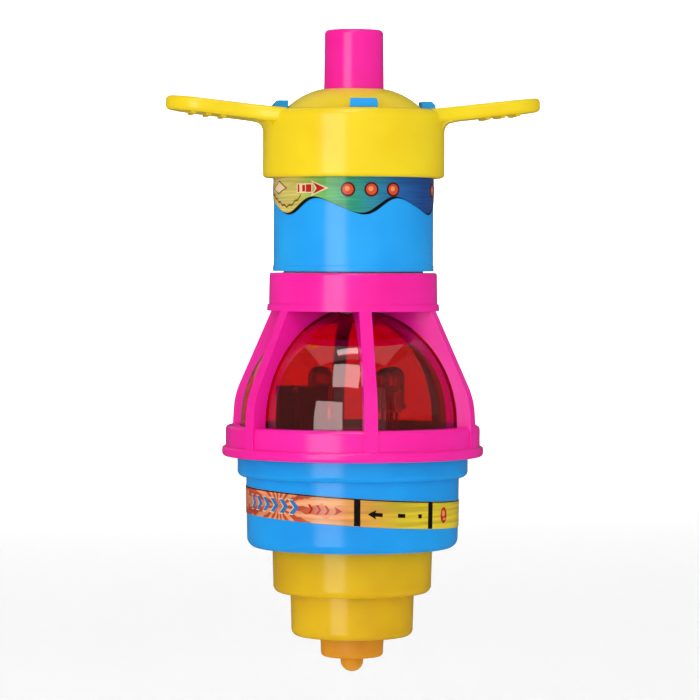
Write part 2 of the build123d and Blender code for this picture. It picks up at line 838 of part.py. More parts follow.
with BuildPart() as hub_screw:
    with BuildSketch(Plane.XY.offset(z_wheel_top)):
        Circle(hub_screw_head_radius)
        RegularPolygon(hub_hex_flats / 2, 6, major_radius=False)
    extrude(amount=hub_screw_head_height)
    with BuildSketch(Plane.XY.offset(z_wheel_top)):
        Circle(hub_screw_radius)
    extrude(amount=-hub_screw_length)
    with BuildSketch(Plane.XY.offset(z_wheel_top + hub_screw_head_height)):
        Rectangle(driver_slot, 3 * hub_screw_radius)
        Rectangle(3 * hub_screw_radius, driver_slot)
    extrude(amount=-driver_slot, mode=Mode.SUBTRACT)

with BuildPart() as mainspring:
    with BuildSketch(Plane.XY.offset(z_strip)):
        with BuildLine():
            for half in range(strip_half_turns):
                CenterArc(
                    (half % 2 * strip_pitch / 2, 0),
                    strip_start + half * strip_pitch / 2,
                    half % 2 * 180,
                    180,
                )
            tail = CenterArc((strip_pitch / 2, 0), strip_end_radius, 180, strip_tail_angle)
            Line(tail @ 1, (tail @ 1) + Vector(*point(strip_hook, 180 + strip_tail_angle)))
        trace(line_width=strip_thickness)
    extrude(amount=strip_width)

with BuildPart() as spring_cover:
    with BuildSketch(Plane.XY.offset(z_spring_cover)):
        Circle(barrel_bore - running_gap)
        Circle(hub_shaft_radius + running_gap, mode=Mode.SUBTRACT)
        with PolarLocations(screw_circle, screw_count, start_angle=cover_screw_angle):
            Circle(screw_radius, mode=Mode.SUBTRACT)
        with Locations(pawl_pivot):
            Circle(pawl_pin_radius, mode=Mode.SUBTRACT)
    extrude(amount=cover_wall)

with BuildPart() as ratchet_cover:
    with BuildSketch(Plane.XY.offset(z_ratchet_cover)):
        Circle(barrel_bore - running_gap)
    extrude(amount=cover_wall)
    with BuildSketch(Plane.XY.offset(z_spring_cover_top)):
        with PolarLocations(screw_circle, screw_count, start_angle=cover_screw_angle):
            Circle(column_radius)
    extrude(amount=ratchet_room)
    with BuildSketch(Plane.XY.offset(z_ratchet_cover_top)):
        Circle(coil_radius - coil_wire - running_gap)
        Circle(coil_radius - coil_wire - cover_wall, mode=Mode.SUBTRACT)
    extrude(amount=coil_seat_height)
    with BuildSketch(Plane.XY.offset(z_spring_cover_top)):
        with PolarLocations(screw_circle, screw_count, start_angle=cover_screw_angle):
            Circle(screw_radius)
        with Locations(pawl_pivot):
            Circle(pawl_pin_radius)
    extrude(amount=ratchet_room + cover_wall, mode=Mode.SUBTRACT)
    with BuildSketch(Plane.XY.offset(z_ratchet_cover)):
        with Locations(peg_rest, peg_out):
            Circle(peg_radius + free_gap)
        trace(Line(peg_rest, peg_out, mode=Mode.PRIVATE), 2 * (peg_radius + free_gap))
    extrude(amount=cover_wall, mode=Mode.SUBTRACT)

with BuildPart() as cover_screws:
    with BuildSketch(Plane.XY.offset(z_ratchet_cover_top)):
        with PolarLocations(screw_circle, screw_count, start_angle=cover_screw_angle):
            Circle(column_radius)
    extrude(amount=screw_head_height)
    with BuildSketch(Plane.XY.offset(z_ratchet_cover_top)):
        with PolarLocations(screw_circle, screw_count, start_angle=cover_screw_angle):
            Circle(screw_radius)
    extrude(amount=-cover_screw_length)
    with BuildSketch(Plane.XY.offset(z_ratchet_cover_top + screw_head_height)):
        with PolarLocations(screw_circle, screw_count, start_angle=cover_screw_angle):
            Rectangle(driver_slot, 2 * screw_radius)
            Rectangle(2 * screw_radius, driver_slot)
    extrude(amount=-driver_slot, mode=Mode.SUBTRACT)

with BuildPart() as pawl_pin:
    with BuildSketch(Plane.XY.offset(z_spring_cover)):
        with Locations(pawl_pivot):
            Circle(pawl_pin_radius)
    extrude(amount=z_ratchet_cover_top - z_spring_cover)

with BuildPart() as release_pawl:
    with BuildSketch(Plane.XY.offset(z_wheel)):
        with BuildLine():
            CenterArc((0, 0), arm_outer, nose_start, pawl_pivot_angle - nose_start)
            Line(point(arm_outer, pawl_pivot_angle), point(arm_inner, pawl_pivot_angle))
            CenterArc((0, 0), arm_inner, pawl_pivot_angle, nose_start + nose_angle - pawl_pivot_angle)
            Polyline(
                point(arm_inner, nose_start + nose_angle),
                point(nose_radius, nose_start),
                point(arm_outer, nose_start),
            )
        make_face()
        with Locations(pawl_pivot):
            Circle(pawl_eye_radius)
            Circle(pawl_pin_radius + running_gap, mode=Mode.SUBTRACT)
    extrude(amount=wheel_thickness)
    with BuildSketch(Plane.XY.offset(z_wheel)):
        with Locations(peg_rest):
            Circle(peg_radius)
    extrude(amount=z_skirt + peg_overlap - z_wheel)

with BuildPart() as pawl_spring:
    with BuildSketch(Plane.XY.offset(z_wheel_top + running_gap)):
        with Locations(pawl_pivot):
            Circle(spring_coil_radius)
            Circle(pawl_pin_radius + running_gap, mode=Mode.SUBTRACT)
    extrude(amount=leaf_height)
    with BuildSketch(Plane.XY.offset(z_wheel_top + leaf_height / 2)):
        trace(Line(leg_root, leg_tip, mode=Mode.PRIVATE), leaf_thickness)
        trace(Line(brace_root, brace_tip, mode=Mode.PRIVATE), leaf_thickness)
    extrude(amount=leaf_thickness)

with BuildPart() as push_button:
    with BuildSketch(Plane.XZ):
        with BuildLine():
            Polyline(
                (0, z_button_top),
                (button_radius, z_button_top),
                (button_low_radius, z_crown),
                (button_low_radius, z_button_plate_top),
                (skirt_high_radius, z_button_plate_top),
                (skirt_low_radius, z_skirt),
                (skirt_low_radius - skirt_wall, z_skirt),
                (skirt_high_radius - skirt_wall, z_button_plate),
                (button_plate_hole, z_button_plate),
                (button_plate_hole, z_button_plate_top),
                (button_radius - button_wall, z_button_plate_top),
                (button_radius - button_wall, z_button_top - button_roof),
                (0, z_button_top - button_roof),
                close=True,
            )
        make_face()
    revolve(axis=Axis.Z)
    fillet(rims(push_button, button_radius, z_button_top), radius=edge_round)

with BuildPart() as button_spring:
    with BuildLine():
        coil = Helix(
            pitch=coil_pitch,
            height=coil_turns * coil_pitch,
            radius=coil_radius,
            center=(0, 0, z_ratchet_cover_top + coil_wire),
        )
    with BuildSketch(Plane(origin=coil @ 0, z_dir=coil % 0)):
        Circle(coil_wire / 2)
    sweep(is_frenet=True)

# ---------------------------------------------------------------- the launcher's casing

with BuildPart() as tab:
    with BuildSketch(Plane.XZ):
        with BuildLine():
            Polyline(
                (barrel_radius - tab_thickness, z_barrel_top - tab_root),
                (barrel_radius - shell_wall / 2, z_barrel_top - tab_root - shell_wall),
                (barrel_radius - shell_wall / 2, z_barrel_top),
                (barrel_radius, z_barrel_top),
                (barrel_radius, z_cap_top + running_gap),
                (barrel_radius + tab_hook, z_cap_top + running_gap),
                (barrel_radius + tab_hook, z_cap_top + tab_rise - edge_round),
                (barrel_radius + tab_hook - edge_round, z_cap_top + tab_rise),
                (barrel_radius - tab_thickness, z_cap_top + tab_rise),
                close=True,
            )
        make_face()
    revolve(axis=Axis.Z, revolution_arc=tab_angle)

with BuildPart() as barrel:
    with BuildSketch(Plane.XZ):
        with BuildLine():
            Polyline(
                (hub_shaft_radius + running_gap, z_web),
                (barrel_bore, z_web),
                (barrel_bore, z_barrel),
                (barrel_radius + barrel_lip, z_barrel),
                (barrel_radius + barrel_lip, z_barrel + barrel_lip_height),
                (barrel_radius, z_barrel + barrel_lip_height + barrel_lip),
                (barrel_radius, z_barrel_top),
                (barrel_bore, z_barrel_top),
                (barrel_bore, z_web_top),
                (hub_shaft_radius + running_gap, z_web_top),
                close=True,
            )
        make_face()
    revolve(axis=Axis.Z)
    with PolarLocations(0, tab_count, start_angle=-tab_angle / 2):
        add(tab.part)
    with BuildSketch(Plane.XY.offset(z_web_top)):
        with PolarLocations(screw_circle, screw_count, start_angle=cover_screw_angle):
            Circle(screw_boss_radius)
    extrude(amount=z_spring_cover - z_web_top)
    with BuildSketch(Plane.XY.offset(z_spring_cover)):
        with PolarLocations(screw_circle, screw_count, start_angle=cover_screw_angle):
            Circle(screw_radius)
    extrude(amount=z_web_top - z_spring_cover, mode=Mode.SUBTRACT)

with BuildPart() as barrel_label:
    with BuildSketch(Plane.XY.offset(z_barrel + label_low)):
        Circle(barrel_radius + label_film)
        Circle(barrel_radius, mode=Mode.SUBTRACT)
    extrude(amount=barrel_show + label_tuck - label_low)

# One wing: its outline from the side, then from above
with BuildPart() as wing:
    with BuildSketch(Plane.XZ):
        with BuildLine():
            Polyline(
                (crown_radius, wing_top(crown_radius)),
                (wing_reach, wing_top(wing_reach)),
                (wing_reach, wing_bottom(wing_reach)),
                (crown_radius, wing_bottom(crown_radius)),
                close=True,
            )
        make_face()
    extrude(amount=wing_root_width, both=True)
    with BuildSketch(Plane.XY.offset(z_cap)):
        with BuildLine():
            near = Spline(
                (crown_radius, -wing_root_width / 2),
                (wing_neck, -wing_tip_width / 2),
                tangents=[(1, wing_root_slope), (1, 0)],
            )
            Line(near @ 1, (wing_reach - wing_tip_width / 2, -wing_tip_width / 2))
            CenterArc((wing_reach - wing_tip_width / 2, 0), wing_tip_width / 2, -90, 180)
            Line((wing_reach - wing_tip_width / 2, wing_tip_width / 2), (wing_neck, wing_tip_width / 2))
            Spline(
                (wing_neck, wing_tip_width / 2),
                (crown_radius, wing_root_width / 2),
                tangents=[(-1, 0), (-1, wing_root_slope)],
            )
            Line((crown_radius, wing_root_width / 2), (crown_radius, -wing_root_width / 2))
        make_face()
    extrude(amount=cap_height + crown_height, mode=Mode.INTERSECT)
    blades = wing.faces().filter_by(GeomType.PLANE).sort_by(SortBy.AREA)[-2:]
    fillet(blades.edges().filter_by(lambda edge: edge.center().X > cap_radius), radius=wing_edge)
    with BuildSketch(Plane.XY.offset(z_cap_top)):
        Circle(wing_start)
    extrude(amount=crown_height, mode=Mode.SUBTRACT)
    with BuildSketch(Plane.XZ):
        for number in range(grip_count):
            grip = grip_first + number * grip_spacing
            with Locations((grip, wing_bottom(grip))):
                Rectangle(grip_width, 2 * grip_height)
    extrude(amount=grip_length / 2, both=True)

# The hollow fillet under a wing, where it leaves the side of the cap
with BuildPart() as gusset:
    with BuildSketch(Plane.XZ):
        gusset_top = wing_bottom(cap_radius)
        with BuildLine():
            CenterArc((cap_radius + wing_gusset, gusset_top - wing_gusset), wing_gusset, 180, -90)
            Polyline(
                (cap_radius + wing_gusset, gusset_top),
                (cap_radius + wing_gusset, gusset_top + edge_round),
                (cap_radius - cap_wall / 2, gusset_top + edge_round),
                (cap_radius - cap_wall / 2, gusset_top - wing_gusset),
                (cap_radius, gusset_top - wing_gusset),
            )
        make_face()
    revolve(axis=Axis.Z, revolution_arc=wing_gusset_angle)

# The opening in the cap for one snap tab
with BuildPart() as tab_slot:
    with BuildSketch(Plane.XZ):
        with BuildLine():
            Polyline(
                (barrel_radius - tab_thickness - free_gap, z_cap),
                (barrel_radius + slide_gap, z_cap),
                (barrel_radius + slide_gap, z_cap_top),
                (wing_start, z_cap_top),
                (wing_start, z_crown),
                (barrel_radius - tab_thickness - free_gap, z_crown),
                close=True,
            )
        make_face()
    revolve(axis=Axis.Z, revolution_arc=slot_angle)

with BuildPart() as winged_cap:
    with BuildSketch(Plane.XZ):
        with BuildLine():
            Polyline(
                (0, z_crown),
                (0, z_cap),
                (cap_radius, z_cap),
                (cap_radius, z_cap_top),
                (crown_radius, z_cap_top),
            )
            SagittaArc((crown_radius, z_cap_top), (guide_bore + crown_flat, z_crown), -crown_bulge)
            Line((guide_bore + crown_flat, z_crown), (0, z_crown))
        make_face()
    revolve(axis=Axis.Z)
    fillet(rims(winged_cap, cap_radius, z_cap_top), radius=cap_edge)
    fillet(rims(winged_cap, cap_radius, z_cap), radius=edge_round)
    with PolarLocations(0, 2):
        add(wing.part)
    with PolarLocations(0, 2, start_angle=-wing_gusset_angle / 2):
        add(gusset.part)
    with BuildSketch(Plane.XZ):
        with BuildLine():
            Polyline(
                (0, z_cap),
                (barrel_radius + cap_fit, z_cap),
                (barrel_radius + cap_fit, z_cap_top - shell_wall),
                (crown_radius - crown_flat, z_cap_top - shell_wall),
                (guide_radius, z_crown - 2 * shell_wall),
                (guide_radius, z_guide),
                (guide_bore, z_guide),
                (guide_bore, z_crown),
                (0, z_crown),
                close=True,
            )
        make_face()
    revolve(axis=Axis.Z, mode=Mode.SUBTRACT)
    with PolarLocations(0, tab_count, start_angle=-slot_angle / 2):
        add(tab_slot.part, mode=Mode.SUBTRACT)

# ---------------------------------------------------------------- files

pieces = {
    "spin_tip": spin_tip,
    "stepped_cone": stepped_cone,
    "base_shell": base_shell,
    "base_label": base_label,
    "cage": cage,
    "dome": dome,
    "circuit_board": circuit_board,
    "chip_blob": chip_blob,
    "led_red": leds["red"],
    "led_green": leds["green"],
    "led_blue": leds["blue"],
    "led_leads": led_leads,
    "switch_housing": switch_housing,
    "switch_arm": switch_arm,
    "battery_holder": battery_holder,
    "cell_1": cells[0],
    "cell_2": cells[1],
    "cell_3": cells[2],
    "contact_minus": contact_minus,
    "contact_plus": contact_plus,
    "board_screws": board_screws,
    "cone_screws": cone_screws,
    "drive_hub": drive_hub,
    "ratchet_wheel": ratchet_wheel,
    "hub_screw": hub_screw,
    "mainspring": mainspring,
    "spring_cover": spring_cover,
    "ratchet_cover": ratchet_cover,
    "cover_screws": cover_screws,
    "pawl_pin": pawl_pin,
    "release_pawl": release_pawl,
    "pawl_spring": pawl_spring,
    "push_button": push_button,
    "button_spring": button_spring,
    "barrel": barrel,
    "barrel_label": barrel_label,
    "winged_cap": winged_cap,
}
for name, piece in pieces.items():
    piece.part.label = name
    export_step(piece.part, f"parts/{name}.step")
    print(f"{name}: {len(piece.part.solids())} solid(s), {piece.part.volume:.1f} mm3")
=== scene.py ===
# %% [markdown]
# # A light-up spinning top hanging from its launcher
# The toy is almost all injection-moulded plastic: a launcher with a winged cap, a push button and a
# barrel, and under it a caged dome on a stepped base with a cone and a tip. The engineering model
# already has every part at its real size, so this lesson adds what the eye reads: light, surface,
# print, and the small shapes that are only skin deep. One Blender unit is a metre throughout.

# %% Load the engineering model
import math

import bpy
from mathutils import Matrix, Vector


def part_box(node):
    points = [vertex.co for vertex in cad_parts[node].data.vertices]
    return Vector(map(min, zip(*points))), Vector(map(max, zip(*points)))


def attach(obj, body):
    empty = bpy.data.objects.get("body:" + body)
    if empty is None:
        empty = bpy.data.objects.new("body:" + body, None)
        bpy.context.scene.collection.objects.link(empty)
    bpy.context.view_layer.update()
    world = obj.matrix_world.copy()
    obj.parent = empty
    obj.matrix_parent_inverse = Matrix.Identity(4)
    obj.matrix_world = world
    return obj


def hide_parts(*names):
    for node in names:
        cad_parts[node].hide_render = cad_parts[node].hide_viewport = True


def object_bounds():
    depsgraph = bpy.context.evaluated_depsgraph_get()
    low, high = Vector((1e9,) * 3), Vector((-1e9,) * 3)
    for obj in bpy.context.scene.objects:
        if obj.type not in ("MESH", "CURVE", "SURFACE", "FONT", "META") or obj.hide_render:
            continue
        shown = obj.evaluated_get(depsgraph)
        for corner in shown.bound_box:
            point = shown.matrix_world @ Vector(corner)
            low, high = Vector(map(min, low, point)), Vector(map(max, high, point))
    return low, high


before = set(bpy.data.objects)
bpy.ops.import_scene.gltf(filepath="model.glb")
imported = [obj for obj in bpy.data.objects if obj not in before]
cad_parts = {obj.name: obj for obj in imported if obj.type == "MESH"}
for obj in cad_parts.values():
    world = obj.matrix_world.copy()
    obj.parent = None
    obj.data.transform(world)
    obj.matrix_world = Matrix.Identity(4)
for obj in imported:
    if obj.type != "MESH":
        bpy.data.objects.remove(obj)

mm = 0.001
cad_low, cad_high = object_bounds()
size = [round(length / mm, 1) for length in cad_high - cad_low]
print(len(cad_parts), "parts, overall size in mm:", size)

# %% [markdown]
# ## The camera
# A product shot of a small toy is taken from well back with a long lens, so that the cylinders keep
# parallel sides and the ledges show only thin ellipses. The camera stands level with the collar of
# the cage and looks down very slightly, which puts the edges above it into a view from below and the
# edges under it into a view from above. Placing it by distance, height and turn keeps those facts.

# %% Place the camera
camera_distance = 690 * mm
camera_height = 83.6 * mm
camera_turn = math.radians(-7)
aim_height = 64.6 * mm
aim_left = 0.6 * mm
camera_roll = math.radians(0.2)

camera_data = bpy.data.cameras.new("camera")
camera_data.sensor_width = 36
camera_data.lens = 177
camera_data.clip_start = 0.02
camera = bpy.data.objects.new("camera", camera_data)
bpy.context.scene.collection.objects.link(camera)
bpy.context.scene.camera = camera
away = Vector((math.sin(camera_turn), -math.cos(camera_turn), 0))
to_the_right = Vector((math.cos(camera_turn), math.sin(camera_turn), 0))
camera.location = away * camera_distance + Vector((0, 0, camera_height))
aim = Vector((0, 0, aim_height)) - to_the_right * aim_left
camera.rotation_euler = (aim - camera.location).to_track_quat("-Z", "Y").to_euler()
camera.rotation_euler.rotate_axis("Z", camera_roll)
print("camera at", [round(value, 3) for value in camera.location])

# %% [markdown]
# ## The floor
# The toy is held by its wings, a hand's turn above a paper cove: a pale floor that curves up into a
# wall all round, as in a studio built for small products. A flat plane would end in a hard horizon,
# so the profile is a quarter circle between the floor and the wall, turned once round the toy. The
# floor lies low enough for the top to drop off the launcher and still hang clear of it. Glossy rays
# pass through the paper, so the plastic mirrors softboxes against the dark, and its edges stay deep.

# %% Make the paper cove
cove_radius = 2.4
cove_bend = 0.9
cove_height = 2.8
bend_steps = 16
turn_steps = 96


def mesh_object(name, points, faces):
    """Makes a smooth shaded object from points in metres and faces that name them by number."""
    mesh = bpy.data.meshes.new(name)
    mesh.from_pydata(points, [], faces)
    mesh.validate()
    mesh.shade_smooth()
    made = bpy.data.objects.new(name, mesh)
    bpy.context.scene.collection.objects.link(made)
    return made


def turned_surface(name, profile, steps):
    """Turns a profile of (radius, height) pairs about the Z axis."""
    points = []
    for radius, height in profile:
        for step in range(steps):
            turn = 2 * math.pi * step / steps
            points.append((radius * math.sin(turn), -radius * math.cos(turn), height))
    faces = []
    for row in range(len(profile) - 1):
        for step in range(steps):
            after = (step + 1) % steps
            low, high = row * steps, (row + 1) * steps
            faces.append((low + step, low + after, high + after, high + step))
    return mesh_object(name, points, faces)


release_drop = 30 * mm  # the top falls this far from the launcher, and stays over the floor
floor_clearance = 2 * mm
floor_level = cad_low.z - release_drop - floor_clearance
profile = [(cove_radius * share, floor_level) for share in (0.00002, 0.002, 0.05, 0.3)]
for step in range(bend_steps + 1):
    turn = math.pi / 2 * step / bend_steps
    out_to = cove_radius - cove_bend + cove_bend * math.sin(turn)
    profile.append((out_to, floor_level + cove_bend * (1 - math.cos(turn))))
profile.append((cove_radius, floor_level + cove_height))
cove = turned_surface("paper_cove", profile, turn_steps)
cove.visible_glossy = False
print("cove", cove_radius, "m in radius")

# %% [markdown]
# ## Soft studio light
# The long pale stripes down the cylinders and the rounded patches on the dome are softboxes seen in
# the plastic. A cylinder turns a reflection by twice the angle of its surface, so the stripe's place
# tells where the softbox stands: about 25 degrees to the left of the camera. Each light is set by
# its direction and by its brightness, because brightness is what a reflection shows.

# %% Set the lights
toy_centre = (cad_low + cad_high) / 2


def softbox(name, turn, rise, distance, width, height, brightness):
    """An area light that faces the toy, turned to the right of the camera and raised, in degrees."""
    data = bpy.data.lights.new(name, "AREA")
    data.shape = "RECTANGLE"
    data.size, data.size_y = width, height
    data.energy = brightness * math.pi * width * height
    lamp = bpy.data.objects.new(name, data)
    bpy.context.scene.collection.objects.link(lamp)
    side, up = camera_turn + math.radians(turn), math.radians(rise)
    way = Vector((math.sin(side) * math.cos(up), -math.cos(side) * math.cos(up), math.sin(up)))
    lamp.location = toy_centre + way * distance
    lamp.rotation_euler = way.to_track_quat("Z", "Y").to_euler()
    lamp.visible_camera = False
    return lamp


softbox("key_left", -25, -5, 0.80, 0.42, 0.75, 2.3)
softbox("key_upper", -9, 48, 0.80, 0.36, 0.36, 2.6)
softbox("strip_top", 4, 77, 0.70, 0.34, 0.09, 3.2)
softbox("panel_right", 72, 28, 1.10, 1.20, 1.00, 0.06)
softbox("panel_front", 8, 16, 1.60, 1.60, 1.20, 0.15)
softbox("panel_back_left", -150, 30, 1.20, 0.90, 0.90, 0.15)
softbox("panel_back_right", 150, 30, 1.20, 0.90, 0.90, 0.05)
softbox("overhead", 180, 80, 1.70, 2.20, 2.20, 0.32)

wash_place = Vector((0, cove_radius - 0.75, 0.85))
wash_target = Vector((0, cove_radius - 0.2, 0.05))
wall_wash = softbox("wall_wash", 180, 40, 1.80, 1.00, 0.35, 9.0)
wall_wash.location = wash_place
wall_wash.rotation_euler = (wash_target - wash_place).to_track_quat("-Z", "Y").to_euler()

room_light = 0.08
world = bpy.data.worlds.new("studio")
bpy.context.scene.world = world
world.use_nodes = True
world.node_tree.nodes["Background"].inputs["Color"].default_value = (1.0, 1.0, 1.0, 1.0)
world.node_tree.nodes["Background"].inputs["Strength"].default_value = room_light
bpy.context.scene.view_settings.view_transform = "Standard"

# %% [markdown]
# ## Colours and nodes
# Paint and plastic colours are easiest to name as the sRGB hex values that a colour chart gives, but
# the renderer adds light in linear values, so one function converts them. A second small function
# adds a shader node: its sockets take numbers, colours or another node's output, and its other
# settings go in by name. Every material below is built from those two.

# %% Helpers for materials


def linear(code):
    """The linear colour of an sRGB hex value such as f5dd28."""
    shares = [int(code[i : i + 2], 16) / 255 for i in (0, 2, 4)]
    return (*[s / 12.92 if s <= 0.04045 else ((s + 0.055) / 1.055) ** 2.4 for s in shares], 1.0)


def add(tree, kind, sockets=None, **settings):
    """Adds a shader node, and sets or links its sockets."""
    node = tree.nodes.new("ShaderNode" + kind)
    for name, value in settings.items():
        setattr(node, name, value)
    for name, value in (sockets or {}).items():
        if isinstance(value, bpy.types.NodeSocket):
            tree.links.new(value, node.inputs[name])
        else:
            node.inputs[name].default_value = value
    return node


def new_material(name):
    """An empty node material, with its output node."""
    material = bpy.data.materials.new(name)
    material.use_nodes = True
    tree = material.node_tree
    tree.nodes.clear()
    return material, tree, add(tree, "OutputMaterial")


def finish_with(material, *nodes):
    """Gives a material to every slot of the engineering model's parts."""
    for name in nodes:
        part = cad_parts[name].data
        part.materials.clear()
        part.materials.append(material)


# %% [markdown]
# ## Paper for the cove
# Uncoated background paper scatters light evenly and has a fine tooth. Its fibres are finer than the
# render can show, so the bump is drawn at half a millimetre. A faint glow stands for the light that
# comes through the sheet from behind, and keeps the ground white under the toy.

# %% Give the cove its paper
paper_glow = 0.21
paper, tree, out = new_material("background paper")
coordinates = add(tree, "TexCoord")
tooth = add(tree, "TexNoise", {"Vector": coordinates.outputs["Object"], "Scale": 1 / (0.5 * mm),
                               "Detail": 3.0})
relief = add(tree, "Bump", {"Height": tooth.outputs["Fac"], "Strength": 0.08, "Distance": 0.02 * mm})
white = add(tree, "MixRGB", {"Fac": tooth.outputs["Fac"], "Color1": linear("fbfbfb"),
                             "Color2": linear("ffffff")})
sheet = add(tree, "BsdfPrincipled", {"Base Color": white.outputs["Color"], "Roughness": 0.9,
                                     "Specular IOR Level": 0.2, "Normal": relief.outputs["Normal"],
                                     "Emission Color": linear("ffffff"), "Emission Strength": paper_glow})
tree.links.new(sheet.outputs["BSDF"], out.inputs["Surface"])
cove.data.materials.append(paper)

# %% [markdown]
# ## Moulded ABS
# Most of the toy is ABS, a glossy and slightly milky plastic, coloured in the mass and shot into a
# polished steel mould. Three things give it away. Light enters a little way, so thin edges glow.
# The pigment is never quite even, so the tone drifts over a centimetre or two. And the skin keeps a
# faint waviness from shrinking as it cools, with a haze of fine handling scuffs, so its reflections
# are soft edged and not mirror sharp. One recipe makes them all, with the colour as its argument.

# %% The recipe for coloured ABS
abs_ior = 1.54
pigment_drift = 16 * mm  # how far apart the lighter and deeper patches lie
skin_wave = 2.2 * mm  # sink marks and flow waves
orange_peel = 0.5 * mm  # finer on the real part; drawn as coarse as it needs to show
scuff_length = 5.0 * mm


def moulded_abs(name, colour, deep, roughness=0.2, glow=0.1):
    """Glossy ABS in a colour that drifts towards a deeper one."""
    material, tree, out = new_material(name)
    place = add(tree, "TexCoord").outputs["Object"]
    drift = add(tree, "TexNoise", {"Vector": place, "Scale": 1 / pigment_drift, "Detail": 2.0})
    wave = add(tree, "TexNoise", {"Vector": place, "Scale": 1 / skin_wave, "Detail": 1.0})
    peel = add(tree, "TexNoise", {"Vector": place, "Scale": 1 / orange_peel, "Detail": 2.0})
    stretched = add(tree, "Mapping", {"Vector": place, "Scale": (1.0, 1.0, 0.12)})
    scuffs = add(tree, "TexNoise", {"Vector": stretched.outputs["Vector"], "Scale": 10 / scuff_length,
                                    "Detail": 6.0, "Roughness": 0.7})
    share = add(tree, "MapRange", {"Value": drift.outputs["Fac"], "From Min": 0.35, "From Max": 0.75})
    tone = add(tree, "MixRGB", {"Fac": share.outputs["Result"], "Color1": linear(colour),
                                "Color2": linear(deep)})
    haze = add(tree, "MapRange", {"Value": scuffs.outputs["Fac"], "From Min": 0.3, "From Max": 0.9,
                                  "To Min": roughness, "To Max": roughness + 0.03})
    swell = add(tree, "Bump", {"Height": wave.outputs["Fac"], "Strength": 0.25, "Distance": 0.02 * mm})
    skin = add(tree, "Bump", {"Height": peel.outputs["Fac"], "Strength": 0.12, "Distance": 0.01 * mm,
                              "Normal": swell.outputs["Normal"]})
    plastic = add(tree, "BsdfPrincipled", {
        "Base Color": tone.outputs["Color"],
        "Roughness": haze.outputs["Result"],
        "IOR": abs_ior,
        "Subsurface Weight": glow,
        "Subsurface Radius": linear(colour)[:3],
        "Subsurface Scale": 1.2 * mm,
        "Normal": skin.outputs["Normal"],
    })
    tree.links.new(plastic.outputs["BSDF"], out.inputs["Surface"])
    return material


# %% Mould the coloured shells
finish_with(moulded_abs("abs_yellow", "f6da16", "f0ca0a"), "winged_cap")
finish_with(moulded_abs("abs_magenta", "ff1caa", "f60e98"), "cage", "push_button")
finish_with(moulded_abs("abs_barrel_blue", "1eaaf8", "149cf0"), "barrel")
finish_with(moulded_abs("abs_base_blue", "14a2f2", "0e92e6"), "base_shell")
finish_with(moulded_abs("abs_cone_yellow", "e4b80a", "d29e04"), "stepped_cone")
finish_with(moulded_abs("abs_grey", "8c9096", "7c8086", roughness=0.38, glow=0.03), "spring_cover",
            "ratchet_cover")
print("shells moulded")

# %% [markdown]
# ## The tip
# The tip takes all the wear, so it is nylon, amber at the point. The piece also takes in the lowest
# yellow step, which looks deeper orange in the shadow of the step above, so its amber there is painted
# shade. Nylon is waxy: light goes deep into it and comes out warm, and its skin is satin. The point that
# runs on the table is scuffed, so it gets paler and rougher towards the bottom.

# %% Amber nylon, partly painted shade
nylon, tree, out = new_material("nylon_amber_and_painted_shade")
place = add(tree, "TexCoord").outputs["Object"]
height = add(tree, "SeparateXYZ", {"Vector": place})
tip_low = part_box("spin_tip")[0]
worn = add(tree, "MapRange", {"Value": height.outputs["Z"], "From Min": tip_low.z,
                              "From Max": tip_low.z + 1.2 * mm, "To Min": 1.0, "To Max": 0.0})
grain = add(tree, "TexNoise", {"Vector": place, "Scale": 1 / (0.4 * mm), "Detail": 4.0})
patches = add(tree, "Math", {0: worn.outputs["Result"], 1: grain.outputs["Fac"]}, operation="MULTIPLY")
cloud = add(tree, "TexNoise", {"Vector": place, "Scale": 1 / (4 * mm), "Detail": 2.0})
# the amber is partly painted shade: it also colours the lowest yellow step, which looks deeper orange in the
# shadow of the step above
amber_and_painted_shade = add(tree, "MixRGB", {"Fac": cloud.outputs["Fac"], "Color1": linear("e8a006"),
                             "Color2": linear("d88c04")})
scuffed = add(tree, "MixRGB", {"Fac": patches.outputs["Value"], "Color1": amber_and_painted_shade.outputs["Color"],
                               "Color2": linear("e3b65a")})
satin = add(tree, "MapRange", {"Value": patches.outputs["Value"], "To Min": 0.34, "To Max": 0.65})
rub = add(tree, "Bump", {"Height": grain.outputs["Fac"], "Strength": 0.3, "Distance": 0.01 * mm})
waxy = add(tree, "BsdfPrincipled", {
    "Base Color": scuffed.outputs["Color"],
    "Roughness": satin.outputs["Result"],
    "IOR": 1.53,
    "Subsurface Weight": 0.35,
    "Subsurface Radius": (1.0, 0.5, 0.1),
    "Subsurface Scale": 1.5 * mm,
    "Normal": rub.outputs["Normal"],
})
tree.links.new(waxy.outputs["BSDF"], out.inputs["Surface"])
finish_with(nylon, "spin_tip")

# %% [markdown]
# ## The clear dome
# The dome is crystal polystyrene, dyed red in the mass and polished. It bends light more than ABS
# does, so its reflections are brighter, and it soaks up green and blue on the way through, so what
# lies behind it turns deep red. A thick shell is best made as real glass with a colour, because
# both of its faces then reflect, as the doubled patches on the real one do.

